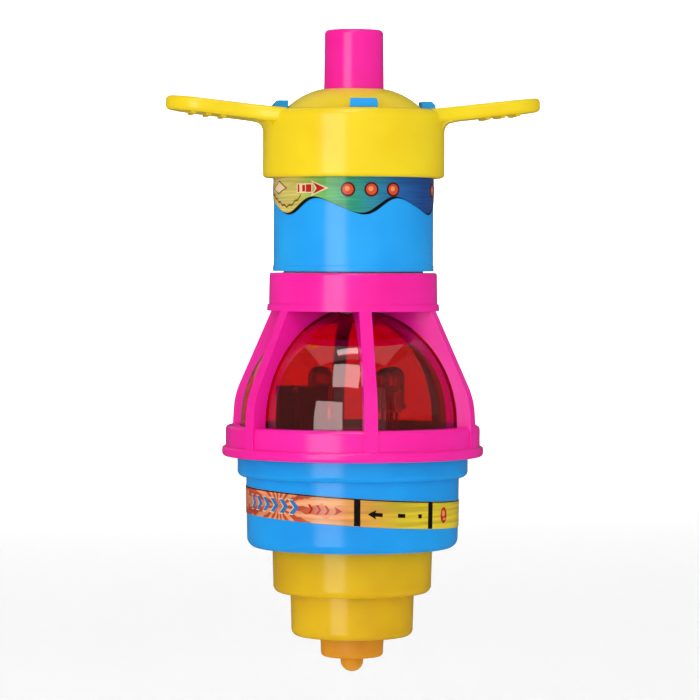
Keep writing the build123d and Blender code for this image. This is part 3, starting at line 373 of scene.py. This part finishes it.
# %% Red polystyrene
polystyrene, tree, out = new_material("polystyrene_clear_red")
place = add(tree, "TexCoord").outputs["Object"]
flow = add(tree, "TexNoise", {"Vector": place, "Scale": 1 / (9 * mm), "Detail": 2.0, "Distortion": 0.6})
dye = add(tree, "MixRGB", {"Fac": flow.outputs["Fac"], "Color1": linear("d2180e"),
                           "Color2": linear("be0e06")})
ripple = add(tree, "Bump", {"Height": flow.outputs["Fac"], "Strength": 0.2, "Distance": 0.05 * mm})
wiped = add(tree, "TexNoise", {"Vector": place, "Scale": 1 / (0.8 * mm), "Detail": 5.0})
polish = add(tree, "MapRange", {"Value": wiped.outputs["Fac"], "From Min": 0.4, "From Max": 0.8,
                                "To Min": 0.02, "To Max": 0.08})
clear = add(tree, "BsdfPrincipled", {
    "Base Color": dye.outputs["Color"],
    "Roughness": polish.outputs["Result"],
    "IOR": 1.59,
    "Transmission Weight": 1.0,
    "Coat Weight": 1.0,
    "Coat Roughness": 0.02,
    "Coat IOR": 1.6,
    "Normal": ripple.outputs["Normal"],
})
tree.links.new(clear.outputs["BSDF"], out.inputs["Surface"])
finish_with(polystyrene, "dome")

# %% [markdown]
# ## The label round the barrel
# The barrel wears a sleeve of printed vinyl, tucked under the cap and cut along a wave at the bottom.
# A straight band with the wave painted on it would look printed on the barrel itself, so the film is
# built as its own thin skin with a real wavy edge. Under that edge runs a black strip of painted shadow,
# the shade the edge casts down and to the right, away from the key light. It is thick along the
# rising side of each wave: the same curve, moved a little round and down.

# %% Cut the film along its wave
film_low, film_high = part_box("barrel_label")
film_radius = film_high.x
wave_count = 6
wave_middle = film_low.z + 1.95 * mm
wave_swing = 1.55 * mm
trough_turn = math.radians(-4)
# where the painted shadow of the film's edge lies: the same wave moved round to the right and down
painted_shadow_shift = math.radians(2.4)
painted_shadow_down = 0.35 * mm
film_columns = 480
film_rows = 10


def wavy_edge(turn):
    """Height of the cut edge at a turn from the front, in radians."""
    phase = wave_count * (turn - trough_turn)
    return wave_middle - wave_swing * (math.cos(phase) + 0.14 * math.sin(2 * phase))


def painted_shadow_bottom(turn):
    """Height of the lower side of the painted shadow that the film's edge casts."""
    return min(wavy_edge(turn), wavy_edge(turn - painted_shadow_shift) - painted_shadow_down)


def on_film(turn, height, proud=0.0):
    """A point on the film's outer face."""
    radius = film_radius + proud
    return (radius * math.sin(turn), -radius * math.cos(turn), height)


points = []
for column in range(film_columns):
    turn = 2 * math.pi * column / film_columns
    edge = wavy_edge(turn)
    points.append(on_film(turn, painted_shadow_bottom(turn)))
    for row in range(film_rows + 1):
        points.append(on_film(turn, edge + (film_high.z - edge) * row / film_rows))
faces = []
column_size = film_rows + 2
for column in range(film_columns):
    here, after = column * column_size, (column + 1) % film_columns * column_size
    for row in range(film_rows + 1):
        faces.append((here + row, after + row, after + row + 1, here + row + 1))
barrel_film = mesh_object("barrel_film", points, faces)
# the lowest row of faces in each column is the painted shadow strip, drawn below the film's real edge
painted_shadow_faces = [face for face in barrel_film.data.polygons if face.index % (film_rows + 1) == 0]
thickness = barrel_film.modifiers.new("film thickness", "SOLIDIFY")
thickness.thickness = 0.07 * mm
thickness.offset = -1
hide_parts("barrel_label")
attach(barrel_film, "launcher")
print("film", film_columns, "columns, radius", round(film_radius / mm, 2), "mm")

# %% [markdown]
# ## Printed vinyl
# The print is flexographic ink under a thin gloss film: it runs from sand through green and teal to
# navy as it goes round. A colour ramp on the angle round the axis gives that with no seam in front,
# and long stretched noise gives the faint speed lines that run along the band. Flat spots of ink,
# such as the balls and the arrow, are cut as thin shapes of their own and laid on the film, which
# keeps their edges crisp at any distance.

# %% Print the blend of colours
colour_stops = [
    (-180, "1c3e86"), (-140, "3a4f7a"), (-105, "a98c4e"), (-72, "d9c56c"), (-50, "cfc25e"), (-42, "a7c255"),
    (-27, "63b05c"), (-8, "2f9b77"), (4, "2a8a97"), (16, "2877a4"), (30, "235fa6"), (52, "1b478f"),
    (110, "1a3c84"), (180, "1c3e86"),
]


def vinyl(tree, out, colour, place):
    """Finishes a printed vinyl film that has this colour."""
    dots = add(tree, "TexNoise", {"Vector": place, "Scale": 1 / (0.35 * mm), "Detail": 2.0})
    lay = add(tree, "TexNoise", {"Vector": place, "Scale": 1 / (5 * mm), "Detail": 2.0})
    gloss = add(tree, "MapRange", {"Value": dots.outputs["Fac"], "To Min": 0.12, "To Max": 0.2})
    wrinkle = add(tree, "Bump", {"Height": lay.outputs["Fac"], "Strength": 0.15, "Distance": 0.02 * mm})
    film = add(tree, "BsdfPrincipled", {"Base Color": colour, "Roughness": gloss.outputs["Result"],
                                        "IOR": 1.5, "Normal": wrinkle.outputs["Normal"]})
    tree.links.new(film.outputs["BSDF"], out.inputs["Surface"])


def turn_round_axis(tree, place):
    """The angle round the toy's axis, 0 at the front and positive to the right, in radians."""
    parts = add(tree, "SeparateXYZ", {"Vector": place})
    front = add(tree, "Math", {0: parts.outputs["Y"], 1: -1.0}, operation="MULTIPLY")
    return add(tree, "Math", {0: parts.outputs["X"], 1: front.outputs["Value"]}, operation="ARCTAN2")


blend_print, tree, out = new_material("vinyl_barrel_print")
place = add(tree, "TexCoord").outputs["Object"]
turn_node = turn_round_axis(tree, place)
share = add(tree, "MapRange", {"Value": turn_node.outputs["Value"], "From Min": -math.pi,
                               "From Max": math.pi})
ramp = add(tree, "ValToRGB", {"Fac": share.outputs["Result"]})
stops = ramp.color_ramp.elements
for number, (degrees, code) in enumerate(colour_stops):
    stop = stops[number] if number < 2 else stops.new(1.0)
    stop.position = (degrees + 180) / 360
    stop.color = linear(code)
lines = add(tree, "Mapping", {"Vector": place, "Scale": (120.0, 120.0, 2600.0)})
speed = add(tree, "TexNoise", {"Vector": lines.outputs["Vector"], "Scale": 1.0, "Detail": 3.0})
streak = add(tree, "MapRange", {"Value": speed.outputs["Fac"], "From Min": 0.35, "From Max": 0.65,
                                "To Min": 0.78, "To Max": 1.12})
printed = add(tree, "MixRGB", {"Fac": 1.0, "Color1": ramp.outputs["Color"],
                               "Color2": streak.outputs["Result"]}, blend_type="MULTIPLY")
vinyl(tree, out, printed.outputs["Color"], place)
barrel_film.data.materials.append(blend_print)


# %% Mix the spot inks
def spot_ink(name, code, deep):
    """A flat printed colour, a little uneven where the plate pressed."""
    material, tree, out = new_material(name)
    place = add(tree, "TexCoord").outputs["Object"]
    press = add(tree, "TexNoise", {"Vector": place, "Scale": 1 / (0.9 * mm), "Detail": 3.0})
    tone = add(tree, "MixRGB", {"Fac": press.outputs["Fac"], "Color1": linear(code),
                                "Color2": linear(deep)})
    vinyl(tree, out, tone.outputs["Color"], place)
    return material


# black ink prints the base bars, and also paints the shadow strip under the barrel film's edge
black_ink_and_painted_shadow = spot_ink("black_ink_and_painted_shadow", "17120f", "0c0a09")
ink_maroon = spot_ink("ink_maroon", "5a1210", "3d0f14")
ink_orange = spot_ink("ink_orange", "e2552c", "c93f20")
ink_light_orange = spot_ink("ink_light_orange", "f39a6a", "ea7f4c")
ink_red = spot_ink("ink_red", "c8201a", "a81612")
ink_brown = spot_ink("ink_brown", "8a5a24", "6c4218")
ink_blue = spot_ink("ink_blue", "2f7fc4", "2468a8")
ink_cream = spot_ink("ink_cream", "f3ddb4", "e8c998")
# the film's second slot is black, for the painted shadow strip under its edge
barrel_film.data.materials.append(black_ink_and_painted_shadow)
for face in painted_shadow_faces:
    face.material_index = 1

# %% [markdown]
# ## Laying ink shapes on a curved label
# Every mark is an outline in millimetres along and up the label. Long sides are split into short
# steps so that the shape can bend round the barrel, a point in the middle joins them into a fan, and
# the whole shape stands a hundredth of a millimetre or two proud so that it never sinks into the film.

# %% A tool that lays ink
ink_step = 0.35  # mm
ink_proud = 0.02 * mm


def lay_ink(name, outlines, ink, place, body):
    """Makes one piece from outlines of (along, up) pairs in mm; place turns a pair into a point."""
    points, faces = [], []
    for outline in outlines:
        rim = []
        for (u, v), (next_u, next_v) in zip(outline, outline[1:] + outline[:1]):
            count = max(1, math.ceil(math.hypot(next_u - u, next_v - v) / ink_step))
            rim += [(u + (next_u - u) * i / count, v + (next_v - v) * i / count) for i in range(count)]
        middle = (sum(u for u, v in rim) / len(rim), sum(v for u, v in rim) / len(rim))
        rings = max(1, math.ceil(max(math.dist(middle, spot) for spot in rim) / (2 * ink_step)))
        first = len(points)
        points.append(place(*middle))
        for ring in range(1, rings + 1):
            points += [place(middle[0] + (u - middle[0]) * ring / rings,
                             middle[1] + (v - middle[1]) * ring / rings) for u, v in rim]
        for i in range(len(rim)):
            after = (i + 1) % len(rim)
            faces.append((first, first + 1 + i, first + 1 + after))
            for ring in range(rings - 1):
                inner, outer = first + 1 + ring * len(rim), first + 1 + (ring + 1) * len(rim)
                faces.append((inner + i, outer + i, outer + after, inner + after))
    piece = mesh_object(name, points, faces)
    piece.data.materials.append(ink)
    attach(piece, body)
    return piece


def disc(u, v, radius, sides=28):
    """A round outline."""
    turns = [2 * math.pi * side / sides for side in range(sides)]
    return [(u + radius * math.cos(turn), v + radius * math.sin(turn)) for turn in turns]


def bar(u, v, length, height, lean=0.0):
    """A four-sided outline from its left end, leaning by lean at the top."""
    half = height / 2
    return [(u - lean, v - half), (u + length - lean, v - half), (u + length, v + half), (u, v + half)]


# %% [markdown]
# ## Marks on the barrel label
# An arrow made of bars points towards a row of three glowing balls, and the set comes round twice.
# Each ball is a dark rim, an orange face and a lighter heart, so it reads as round.

# %% Arrow, balls and ridge lines
mark_height = 96.5 * mm
film_mm = film_radius / mm
film_marks = {"dark": [], "face": [], "heart": [], "arrow": [], "halo": [], "ridge": [], "wedge": []}


def along(degrees):
    """Distance along the label, in mm, of a turn from the front."""
    return math.radians(degrees) * film_mm


for set_turn in (0, 180):
    for ball in (-10.9, 5.6, 21.9, 69.0, 85.3):
        spot = along(set_turn + ball)
        film_marks["dark"].append(disc(spot, 0.0, 1.45))
        film_marks["face"].append(disc(spot, 0.03, 1.08))
        film_marks["heart"].append(disc(spot - 0.12, 0.15, 0.5))
    tail = along(set_turn - 50)
    film_marks["arrow"].append(bar(tail, 0.25, 0.45, 1.5))
    film_marks["arrow"].append(bar(tail + 1.2, 0.25, 0.7, 1.3))
    film_marks["arrow"].append(bar(tail + 2.1, 0.25, 1.3, 1.5))
    film_marks["arrow"].append([(tail + 3.7, 1.45), (tail + 4.6, 0.25), (tail + 3.7, -0.95),
                                (tail + 6.4, 0.25)])
    film_marks["halo"].append([(tail + 3.2, 1.85), (tail + 4.3, 0.25), (tail + 3.2, -1.35),
                               (tail + 7.1, 0.25)])
    film_marks["halo"].append(bar(tail - 0.3, 0.25, 3.9, 1.9))
    teeth = [set_turn - 92 + 3 * tooth for tooth in range(16)]
    ridge = [(along(turn), (wavy_edge(math.radians(turn)) - mark_height) / mm + 1.3 + 0.4 * (number % 2))
             for number, turn in enumerate(teeth)]
    for (u, v), (next_u, next_v) in zip(ridge, ridge[1:]):
        film_marks["ridge"].append([(u, v), (next_u, next_v), (next_u, next_v - 0.4), (u, v - 0.4)])
    wedge = along(set_turn - 76)
    film_marks["ridge"].append([(wedge - 2.2, 0.2), (wedge + 0.9, 1.9), (wedge + 4.1, 0.35),
                                (wedge + 0.5, -0.9)])
    film_marks["wedge"].append([(wedge - 1.8, 0.2), (wedge + 0.9, 1.6), (wedge + 3.5, 0.35),
                                (wedge + 0.5, -0.6)])


def barrel_layer(layer):
    """A function that turns a mark's place on the film into a point in that layer of ink."""
    return lambda u, v: on_film(u / film_mm, mark_height + v * mm, layer * ink_proud)


lay_ink("barrel_ball_rims", film_marks["dark"], ink_maroon, barrel_layer(1), "launcher")
lay_ink("barrel_ball_faces", film_marks["face"], ink_orange, barrel_layer(2), "launcher")
lay_ink("barrel_ball_hearts", film_marks["heart"], ink_light_orange, barrel_layer(3), "launcher")
lay_ink("barrel_arrows", film_marks["arrow"], ink_red, barrel_layer(2), "launcher")
lay_ink("barrel_arrow_halos", film_marks["halo"], ink_cream, barrel_layer(1), "launcher")
lay_ink("barrel_ridges", film_marks["ridge"], ink_brown, barrel_layer(1), "launcher")
lay_ink("barrel_wedges", film_marks["wedge"], ink_cream, barrel_layer(2), "launcher")
print("barrel marks:", {name: len(shapes) for name, shapes in film_marks.items()})

# %% [markdown]
# ## The label round the base
# The lower label is a straight band put on a little crooked, higher on the left. Its print is made of
# panels: an orange one with sun rays, a gold one and a yellow one, with black bars between them. The
# panels and rays belong to the film, so they are worked out in its material from the angle round the
# axis and the height above the band's middle line, which leans as the band does.

# %% Measure the lean of the band
band_low, band_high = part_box("base_label")
band_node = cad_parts["base_label"]
band_radius = band_high.x
band_height = 5.4 * mm
band_middle = (band_low.z + band_high.z) / 2
band_slope = (band_high.z - band_low.z - band_height) / (2 * band_radius)
band_mm = band_radius / mm
print("band leans", round(math.degrees(math.atan(band_slope)), 2), "degrees")


def on_band(u, v):
    """A point on the band's outer face, found by a ray towards the axis."""
    turn = u / band_mm
    way = Vector((math.sin(turn), -math.cos(turn), 0))
    height = band_middle + v * mm - way.x * band_radius * band_slope
    hit, place, *rest = band_node.ray_cast(way * band_radius * 2 + Vector((0, 0, height)), -way)
    radius = Vector((place.x, place.y)).length if hit else band_radius
    return way * (radius + ink_proud) + Vector((0, 0, height))


def over_band(u, v):
    """The same, for ink that lies on other ink."""
    point = on_band(u, v)
    return point + Vector((point.x, point.y, 0)).normalized() * ink_proud


# %% Print the panels
panel_start = math.radians(-99)
ray_centre = math.radians(-50)
ray_count = 15
panel_stops = [(0.0, "f08a58"), (0.42, "f3a878"), (0.53, "e6a04a"), (0.66, "dcc22e"), (0.78, "e6cc2c")]

panels, tree, out = new_material("vinyl_base_print")
place = add(tree, "TexCoord").outputs["Object"]
turn_node = turn_round_axis(tree, place)
parts = add(tree, "SeparateXYZ", {"Vector": place})
half_turn = add(tree, "Math", {0: turn_node.outputs["Value"], 1: panel_start + math.pi, 2: panel_start},
                operation="WRAP")
share = add(tree, "MapRange", {"Value": half_turn.outputs["Value"], "From Min": panel_start,
                               "From Max": panel_start + math.pi})
ramp = add(tree, "ValToRGB", {"Fac": share.outputs["Result"]})
for number, (position, code) in enumerate(panel_stops):
    stop = ramp.color_ramp.elements[number] if number < 2 else ramp.color_ramp.elements.new(1.0)
    stop.position = position
    stop.color = linear(code)

# %% Draw the sun rays over them
from_centre = add(tree, "Math", {0: half_turn.outputs["Value"], 1: ray_centre}, operation="SUBTRACT")
across = add(tree, "Math", {0: from_centre.outputs["Value"], 1: band_radius}, operation="MULTIPLY")
lean = add(tree, "Math", {0: parts.outputs["X"], 1: band_slope, 2: parts.outputs["Z"]},
           operation="MULTIPLY_ADD")
above = add(tree, "Math", {0: lean.outputs["Value"], 1: band_middle}, operation="SUBTRACT")
ray_turn = add(tree, "Math", {0: above.outputs["Value"], 1: across.outputs["Value"]}, operation="ARCTAN2")
waver = add(tree, "TexNoise", {"Vector": place, "Scale": 1 / (2.0 * mm), "Detail": 1.0})
bent = add(tree, "Math", {0: waver.outputs["Fac"], 1: 0.25, 2: ray_turn.outputs["Value"]},
           operation="MULTIPLY_ADD")
spokes = add(tree, "Math", {0: bent.outputs["Value"], 1: ray_count}, operation="MULTIPLY")
swing = add(tree, "Math", {0: spokes.outputs["Value"]}, operation="SINE")
sharp = add(tree, "MapRange", {"Value": swing.outputs["Value"], "From Min": -0.15, "From Max": 0.25})
reach = add(tree, "MapRange", {"Value": across.outputs["Value"], "From Min": 5.0 * mm,
                               "From Max": 16.0 * mm, "To Min": 0.85, "To Max": 0.0})
strength = add(tree, "Math", {0: sharp.outputs["Result"], 1: reach.outputs["Result"]},
               operation="MULTIPLY")
rays = add(tree, "MixRGB", {"Fac": strength.outputs["Value"], "Color1": ramp.outputs["Color"],
                            "Color2": linear("c02c16")})

# %% Draw the speed lines and seal the film
stretched = add(tree, "Mapping", {"Vector": place, "Scale": (60.0, 60.0, 1500.0)})
lines = add(tree, "TexNoise", {"Vector": stretched.outputs["Vector"], "Scale": 1.0, "Detail": 2.0})
streak = add(tree, "MapRange", {"Value": lines.outputs["Fac"], "From Min": 0.35, "From Max": 0.65,
                                "To Min": 0.7, "To Max": 1.08})
printed = add(tree, "MixRGB", {"Fac": 1.0, "Color1": rays.outputs["Color"],
                               "Color2": streak.outputs["Result"]}, blend_type="MULTIPLY")
vinyl(tree, out, printed.outputs["Color"], place)
finish_with(panels, "base_label")

# %% [markdown]
# ## Marks on the base label
# Black bars part the panels. On the gold panel an arrow, a dash and a dot run to the left, the yellow
# panel has a red swirl in an oval, and the orange one has a row of plain blue chevrons and a small
# red arrow with rings. The whole set is printed twice round the base.

# %% Bars, arrow, swirl and chevrons
band_marks = {"black": [], "red": [], "yellow": [], "blue": [], "cream": []}


def along_band(degrees):
    """Distance along the band, in mm, of a turn from the front."""
    return math.radians(degrees) * band_mm


half_band = band_height / mm / 2
for set_turn in (0, 180):
    bars = [along_band(set_turn + turn) for turn in (-6.2, 37.2, 80.6)]
    for start in bars:
        band_marks["black"].append(bar(start, 0.0, 1.25, 2 * half_band - 0.1))
    tip = bars[0] + 2.7
    band_marks["black"].append([(tip, -0.2), (tip + 1.7, 0.75), (tip + 1.35, -0.2), (tip + 1.7, -1.15)])
    band_marks["black"].append(bar(tip + 1.3, -0.2, 1.7, 0.75))
    band_marks["black"].append(bar(tip + 6.2, -0.2, 1.6, 0.75))
    band_marks["black"].append(bar(tip + 10.9, -0.2, 0.85, 0.8))
    swirl = bars[1] + 5.0
    band_marks["red"].append([(swirl + 1.15 * math.cos(t), 1.6 * math.sin(t))
                              for t in [2 * math.pi * i / 28 for i in range(28)]])
    band_marks["yellow"].append(disc(swirl - 0.15, 0.35, 0.62))
    band_marks["yellow"].append(bar(swirl - 0.1, -0.75, 0.9, 0.45, lean=0.3))
    for chevron in range(6):
        start = along_band(set_turn - 76) + 2.5 * chevron
        for side in (-1, 1):
            arm = [(start, 1.35 * side), (start + 1.1, 1.35 * side), (start + 2.3, 0.0), (start + 1.2, 0.0)]
            band_marks["blue"].append(arm)
            band_marks["cream"].append([(u - 0.25, v * 1.12) for u, v in arm])
    rings = along_band(set_turn - 31)
    for ring in range(3):
        for side in (-1, 1):
            arm = [(rings + 1.7 * ring, 0.9 * side), (rings + 0.5 + 1.7 * ring, 0.9 * side),
                   (rings + 1.1 + 1.7 * ring, 0.0), (rings + 0.6 + 1.7 * ring, 0.0)]
            band_marks["red"].append(arm)
    band_marks["red"].append([(rings + 5.4, 0.85), (rings + 7.0, 0.0), (rings + 5.4, -0.85),
                              (rings + 5.8, 0.0)])

hairline = 0.22
for start in range(0, 360, 4):
    length = along_band(4)
    band_marks["black"].append(bar(along_band(start), half_band - hairline / 2 - 0.02, length, hairline))

lay_ink("base_black_marks", band_marks["black"], black_ink_and_painted_shadow, on_band, "gyro")
lay_ink("base_red_marks", band_marks["red"], ink_red, on_band, "gyro")
lay_ink("base_swirl_gaps", band_marks["yellow"], ink_light_orange, over_band, "gyro")
lay_ink("base_chevron_edges", band_marks["cream"], ink_cream, on_band, "gyro")
lay_ink("base_chevrons", band_marks["blue"], ink_blue, over_band, "gyro")
print("base marks:", {name: len(shapes) for name, shapes in band_marks.items()})

# %% [markdown]
# ## What stands behind the dome
# A board with three lamps, a potted chip and a small shaker switch is what makes the top light up.
# It shows only as shapes through red plastic, but it has to be the right stuff: green solder mask with
# pale tracks, clear tinted epoxy with bright metal inside, black resin, and tin plate.

# %% Board, resin and dark plastic
solder_mask, tree, out = new_material("solder_mask_green")
place = add(tree, "TexCoord").outputs["Object"]
tracks = add(tree, "TexBrick", {"Vector": place, "Color1": linear("14592f"), "Color2": linear("1a6a38"),
                                "Mortar": linear("2f8a52"), "Scale": 1 / (6 * mm), "Mortar Size": 0.03})
weave = add(tree, "TexNoise", {"Vector": place, "Scale": 1 / (0.5 * mm), "Detail": 2.0})
lacquer = add(tree, "MapRange", {"Value": weave.outputs["Fac"], "To Min": 0.25, "To Max": 0.45})
relief = add(tree, "Bump", {"Height": tracks.outputs["Fac"], "Strength": 0.4, "Distance": 0.035 * mm})
board = add(tree, "BsdfPrincipled", {"Base Color": tracks.outputs["Color"],
                                     "Roughness": lacquer.outputs["Result"],
                                     "IOR": 1.52, "Normal": relief.outputs["Normal"]})
tree.links.new(board.outputs["BSDF"], out.inputs["Surface"])
finish_with(solder_mask, "circuit_board")


def cast_plastic(name, code, deep, roughness, grain, ior=1.5, glow=0.0):
    """A plain plastic or resin: an even tone with a fine grain in its gloss."""
    material, tree, out = new_material(name)
    place = add(tree, "TexCoord").outputs["Object"]
    speckle = add(tree, "TexNoise", {"Vector": place, "Scale": 1 / grain, "Detail": 4.0})
    tone = add(tree, "MixRGB", {"Fac": speckle.outputs["Fac"], "Color1": linear(code),
                                "Color2": linear(deep)})
    gloss = add(tree, "MapRange", {"Value": speckle.outputs["Fac"], "To Min": roughness - 0.06,
                                   "To Max": roughness + 0.1})
    skin = add(tree, "Bump", {"Height": speckle.outputs["Fac"], "Strength": 0.2, "Distance": 0.01 * mm})
    body = add(tree, "BsdfPrincipled", {"Base Color": tone.outputs["Color"],
                                        "Roughness": gloss.outputs["Result"], "IOR": ior,
                                        "Subsurface Weight": glow, "Subsurface Scale": 1.5 * mm,
                                        "Normal": skin.outputs["Normal"]})
    tree.links.new(body.outputs["BSDF"], out.inputs["Surface"])
    return material


finish_with(cast_plastic("epoxy_potting_black", "15130f", "0c0b0a", 0.3, 0.8 * mm), "chip_blob")
finish_with(cast_plastic("polypropylene_dark", "1f2023", "141518", 0.42, 0.6 * mm), "switch_housing",
            "battery_holder")
finish_with(cast_plastic("acetal_natural", "e9e7dc", "dcd9cc", 0.35, 0.7 * mm, ior=1.48, glow=0.15),
            "drive_hub", "ratchet_wheel", "release_pawl")
print("plastics cast")

# %% [markdown]
# ## Lamps
# A light-emitting diode is a bead of tinted clear epoxy with a flange at its foot, and inside it a
# metal cup on one post with a second post beside it. The epoxy needs its metal to look like a lamp,
# so each one gets a frame: a turned cup, and two square posts.

# %% Cast the lamp beads
led_colours = {"led_red": "f0584a", "led_green": "7fe08a", "led_blue": "7aa2f5"}
for node_name, code in led_colours.items():
    epoxy, tree, out = new_material("epoxy_" + node_name[4:])
    place = add(tree, "TexCoord").outputs["Object"]
    swirl = add(tree, "TexNoise", {"Vector": place, "Scale": 1 / (2 * mm), "Detail": 1.0})
    tint = add(tree, "MixRGB", {"Fac": swirl.outputs["Fac"], "Color1": linear(code),
                                "Color2": linear("ffffff")})
    cast = add(tree, "MapRange", {"Value": swirl.outputs["Fac"], "To Min": 0.03, "To Max": 0.12})
    bead = add(tree, "BsdfPrincipled", {"Base Color": tint.outputs["Color"],
                                        "Roughness": cast.outputs["Result"],
                                        "IOR": 1.53, "Transmission Weight": 0.75})
    tree.links.new(bead.outputs["BSDF"], out.inputs["Surface"])
    finish_with(epoxy, node_name)

# %% [markdown]
# ## Metals
# Three metals are at work: zinc plate on the screws and the pin, tin plate on leads and contacts, and
# spring stock for the springs, with brass for the switch arm. Plated and drawn metals keep fine lines
# from how they were made, which stretch the reflection, so each gets noise drawn out along Z and a
# roughness that follows it.


# %% The recipe for drawn and plated metal
def drawn_metal(name, code, deep, roughness, line_spacing=0.25 * mm):
    """Metal with fine lines along Z and slight tarnish."""
    material, tree, out = new_material(name)
    place = add(tree, "TexCoord").outputs["Object"]
    drawn = add(tree, "Mapping", {"Vector": place, "Scale": (1.0, 1.0, 0.08)})
    lines = add(tree, "TexNoise", {"Vector": drawn.outputs["Vector"], "Scale": 1 / line_spacing,
                                   "Detail": 3.0})
    stain = add(tree, "TexNoise", {"Vector": place, "Scale": 1 / (3 * mm), "Detail": 4.0})
    tone = add(tree, "MixRGB", {"Fac": stain.outputs["Fac"], "Color1": linear(code), "Color2": linear(deep)})
    gloss = add(tree, "MapRange", {"Value": lines.outputs["Fac"], "To Min": roughness - 0.08,
                                   "To Max": roughness + 0.12})
    relief = add(tree, "Bump", {"Height": lines.outputs["Fac"], "Strength": 0.25, "Distance": 0.01 * mm})
    metal = add(tree, "BsdfPrincipled", {"Base Color": tone.outputs["Color"], "Metallic": 1.0,
                                         "Roughness": gloss.outputs["Result"],
                                         "Normal": relief.outputs["Normal"]})
    tree.links.new(metal.outputs["BSDF"], out.inputs["Surface"])
    return material


zinc = drawn_metal("zinc_plated_steel", "c9ccd0", "aeb3b8", 0.3)
tin = drawn_metal("tin_plate", "d6d5cf", "b9b7b0", 0.28)
finish_with(zinc, "board_screws", "cone_screws", "hub_screw", "cover_screws", "pawl_pin")
finish_with(tin, "led_leads", "contact_minus", "contact_plus")
finish_with(drawn_metal("nickel_plated_steel", "d8d6cf", "c4c1b8", 0.22, 0.4 * mm), "cell_1", "cell_2",
            "cell_3")
finish_with(drawn_metal("spring_steel_oiled", "8f8d8c", "6b6a6c", 0.3), "mainspring", "pawl_spring",
            "button_spring")
finish_with(drawn_metal("spring_brass", "d8b25c", "b98f3e", 0.3), "switch_arm")

# %% Stand a metal frame in each lamp
post_width = 0.45 * mm
post_gap = 1.1 * mm
cup_radius = 0.95 * mm
cup_depth = 0.7 * mm


def lamp_frame(name, node_name):
    """The metal inside a lamp: a cup on one post, and a shorter post beside it."""
    low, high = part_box(node_name)
    centre = (low + high) / 2
    top = low.z + 0.58 * (high.z - low.z)
    foot = low.z + 0.2 * mm
    steps = 20
    profile = [(0.02 * mm, -cup_depth), (0.5 * cup_radius, -cup_depth), (cup_radius, 0.0),
               (cup_radius + 0.15 * mm, 0.0), (0.75 * cup_radius, -1.5 * cup_depth),
               (0.02 * mm, -1.5 * cup_depth)]
    points, faces = [], []
    for radius, height in profile:
        for step in range(steps):
            turn = 2 * math.pi * step / steps
            points.append((centre.x + post_gap / 2 + radius * math.sin(turn),
                           centre.y - radius * math.cos(turn), top + height))
    for row in range(len(profile) - 1):
        for step in range(steps):
            after = (step + 1) % steps
            faces.append((row * steps + step, row * steps + after, (row + 1) * steps + after,
                          (row + 1) * steps + step))
    for side, height in ((1, top - cup_depth), (-1, top + 0.3 * mm)):
        first = len(points)
        x = centre.x + side * post_gap / 2
        for z, share in ((foot, 1.0), (height - 0.3 * mm, 1.0), (height, 0.7)):
            half = post_width / 2 * share
            points += [(x - half, centre.y - half, z), (x + half, centre.y - half, z),
                       (x + half, centre.y + half, z), (x - half, centre.y + half, z)]
        for level in (0, 4):
            for corner in range(4):
                after = (corner + 1) % 4
                faces.append((first + level + corner, first + level + after, first + level + 4 + after,
                              first + level + 4 + corner))
        faces.append((first + 3, first + 2, first + 1, first))
        faces.append((first + 8, first + 9, first + 10, first + 11))
    piece = mesh_object(name, points, faces)
    piece.data.materials.append(tin)
    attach(piece, "gyro")
    return piece


for node_name in led_colours:
    lamp_frame(node_name + "_frame", node_name)
print("lamps framed")
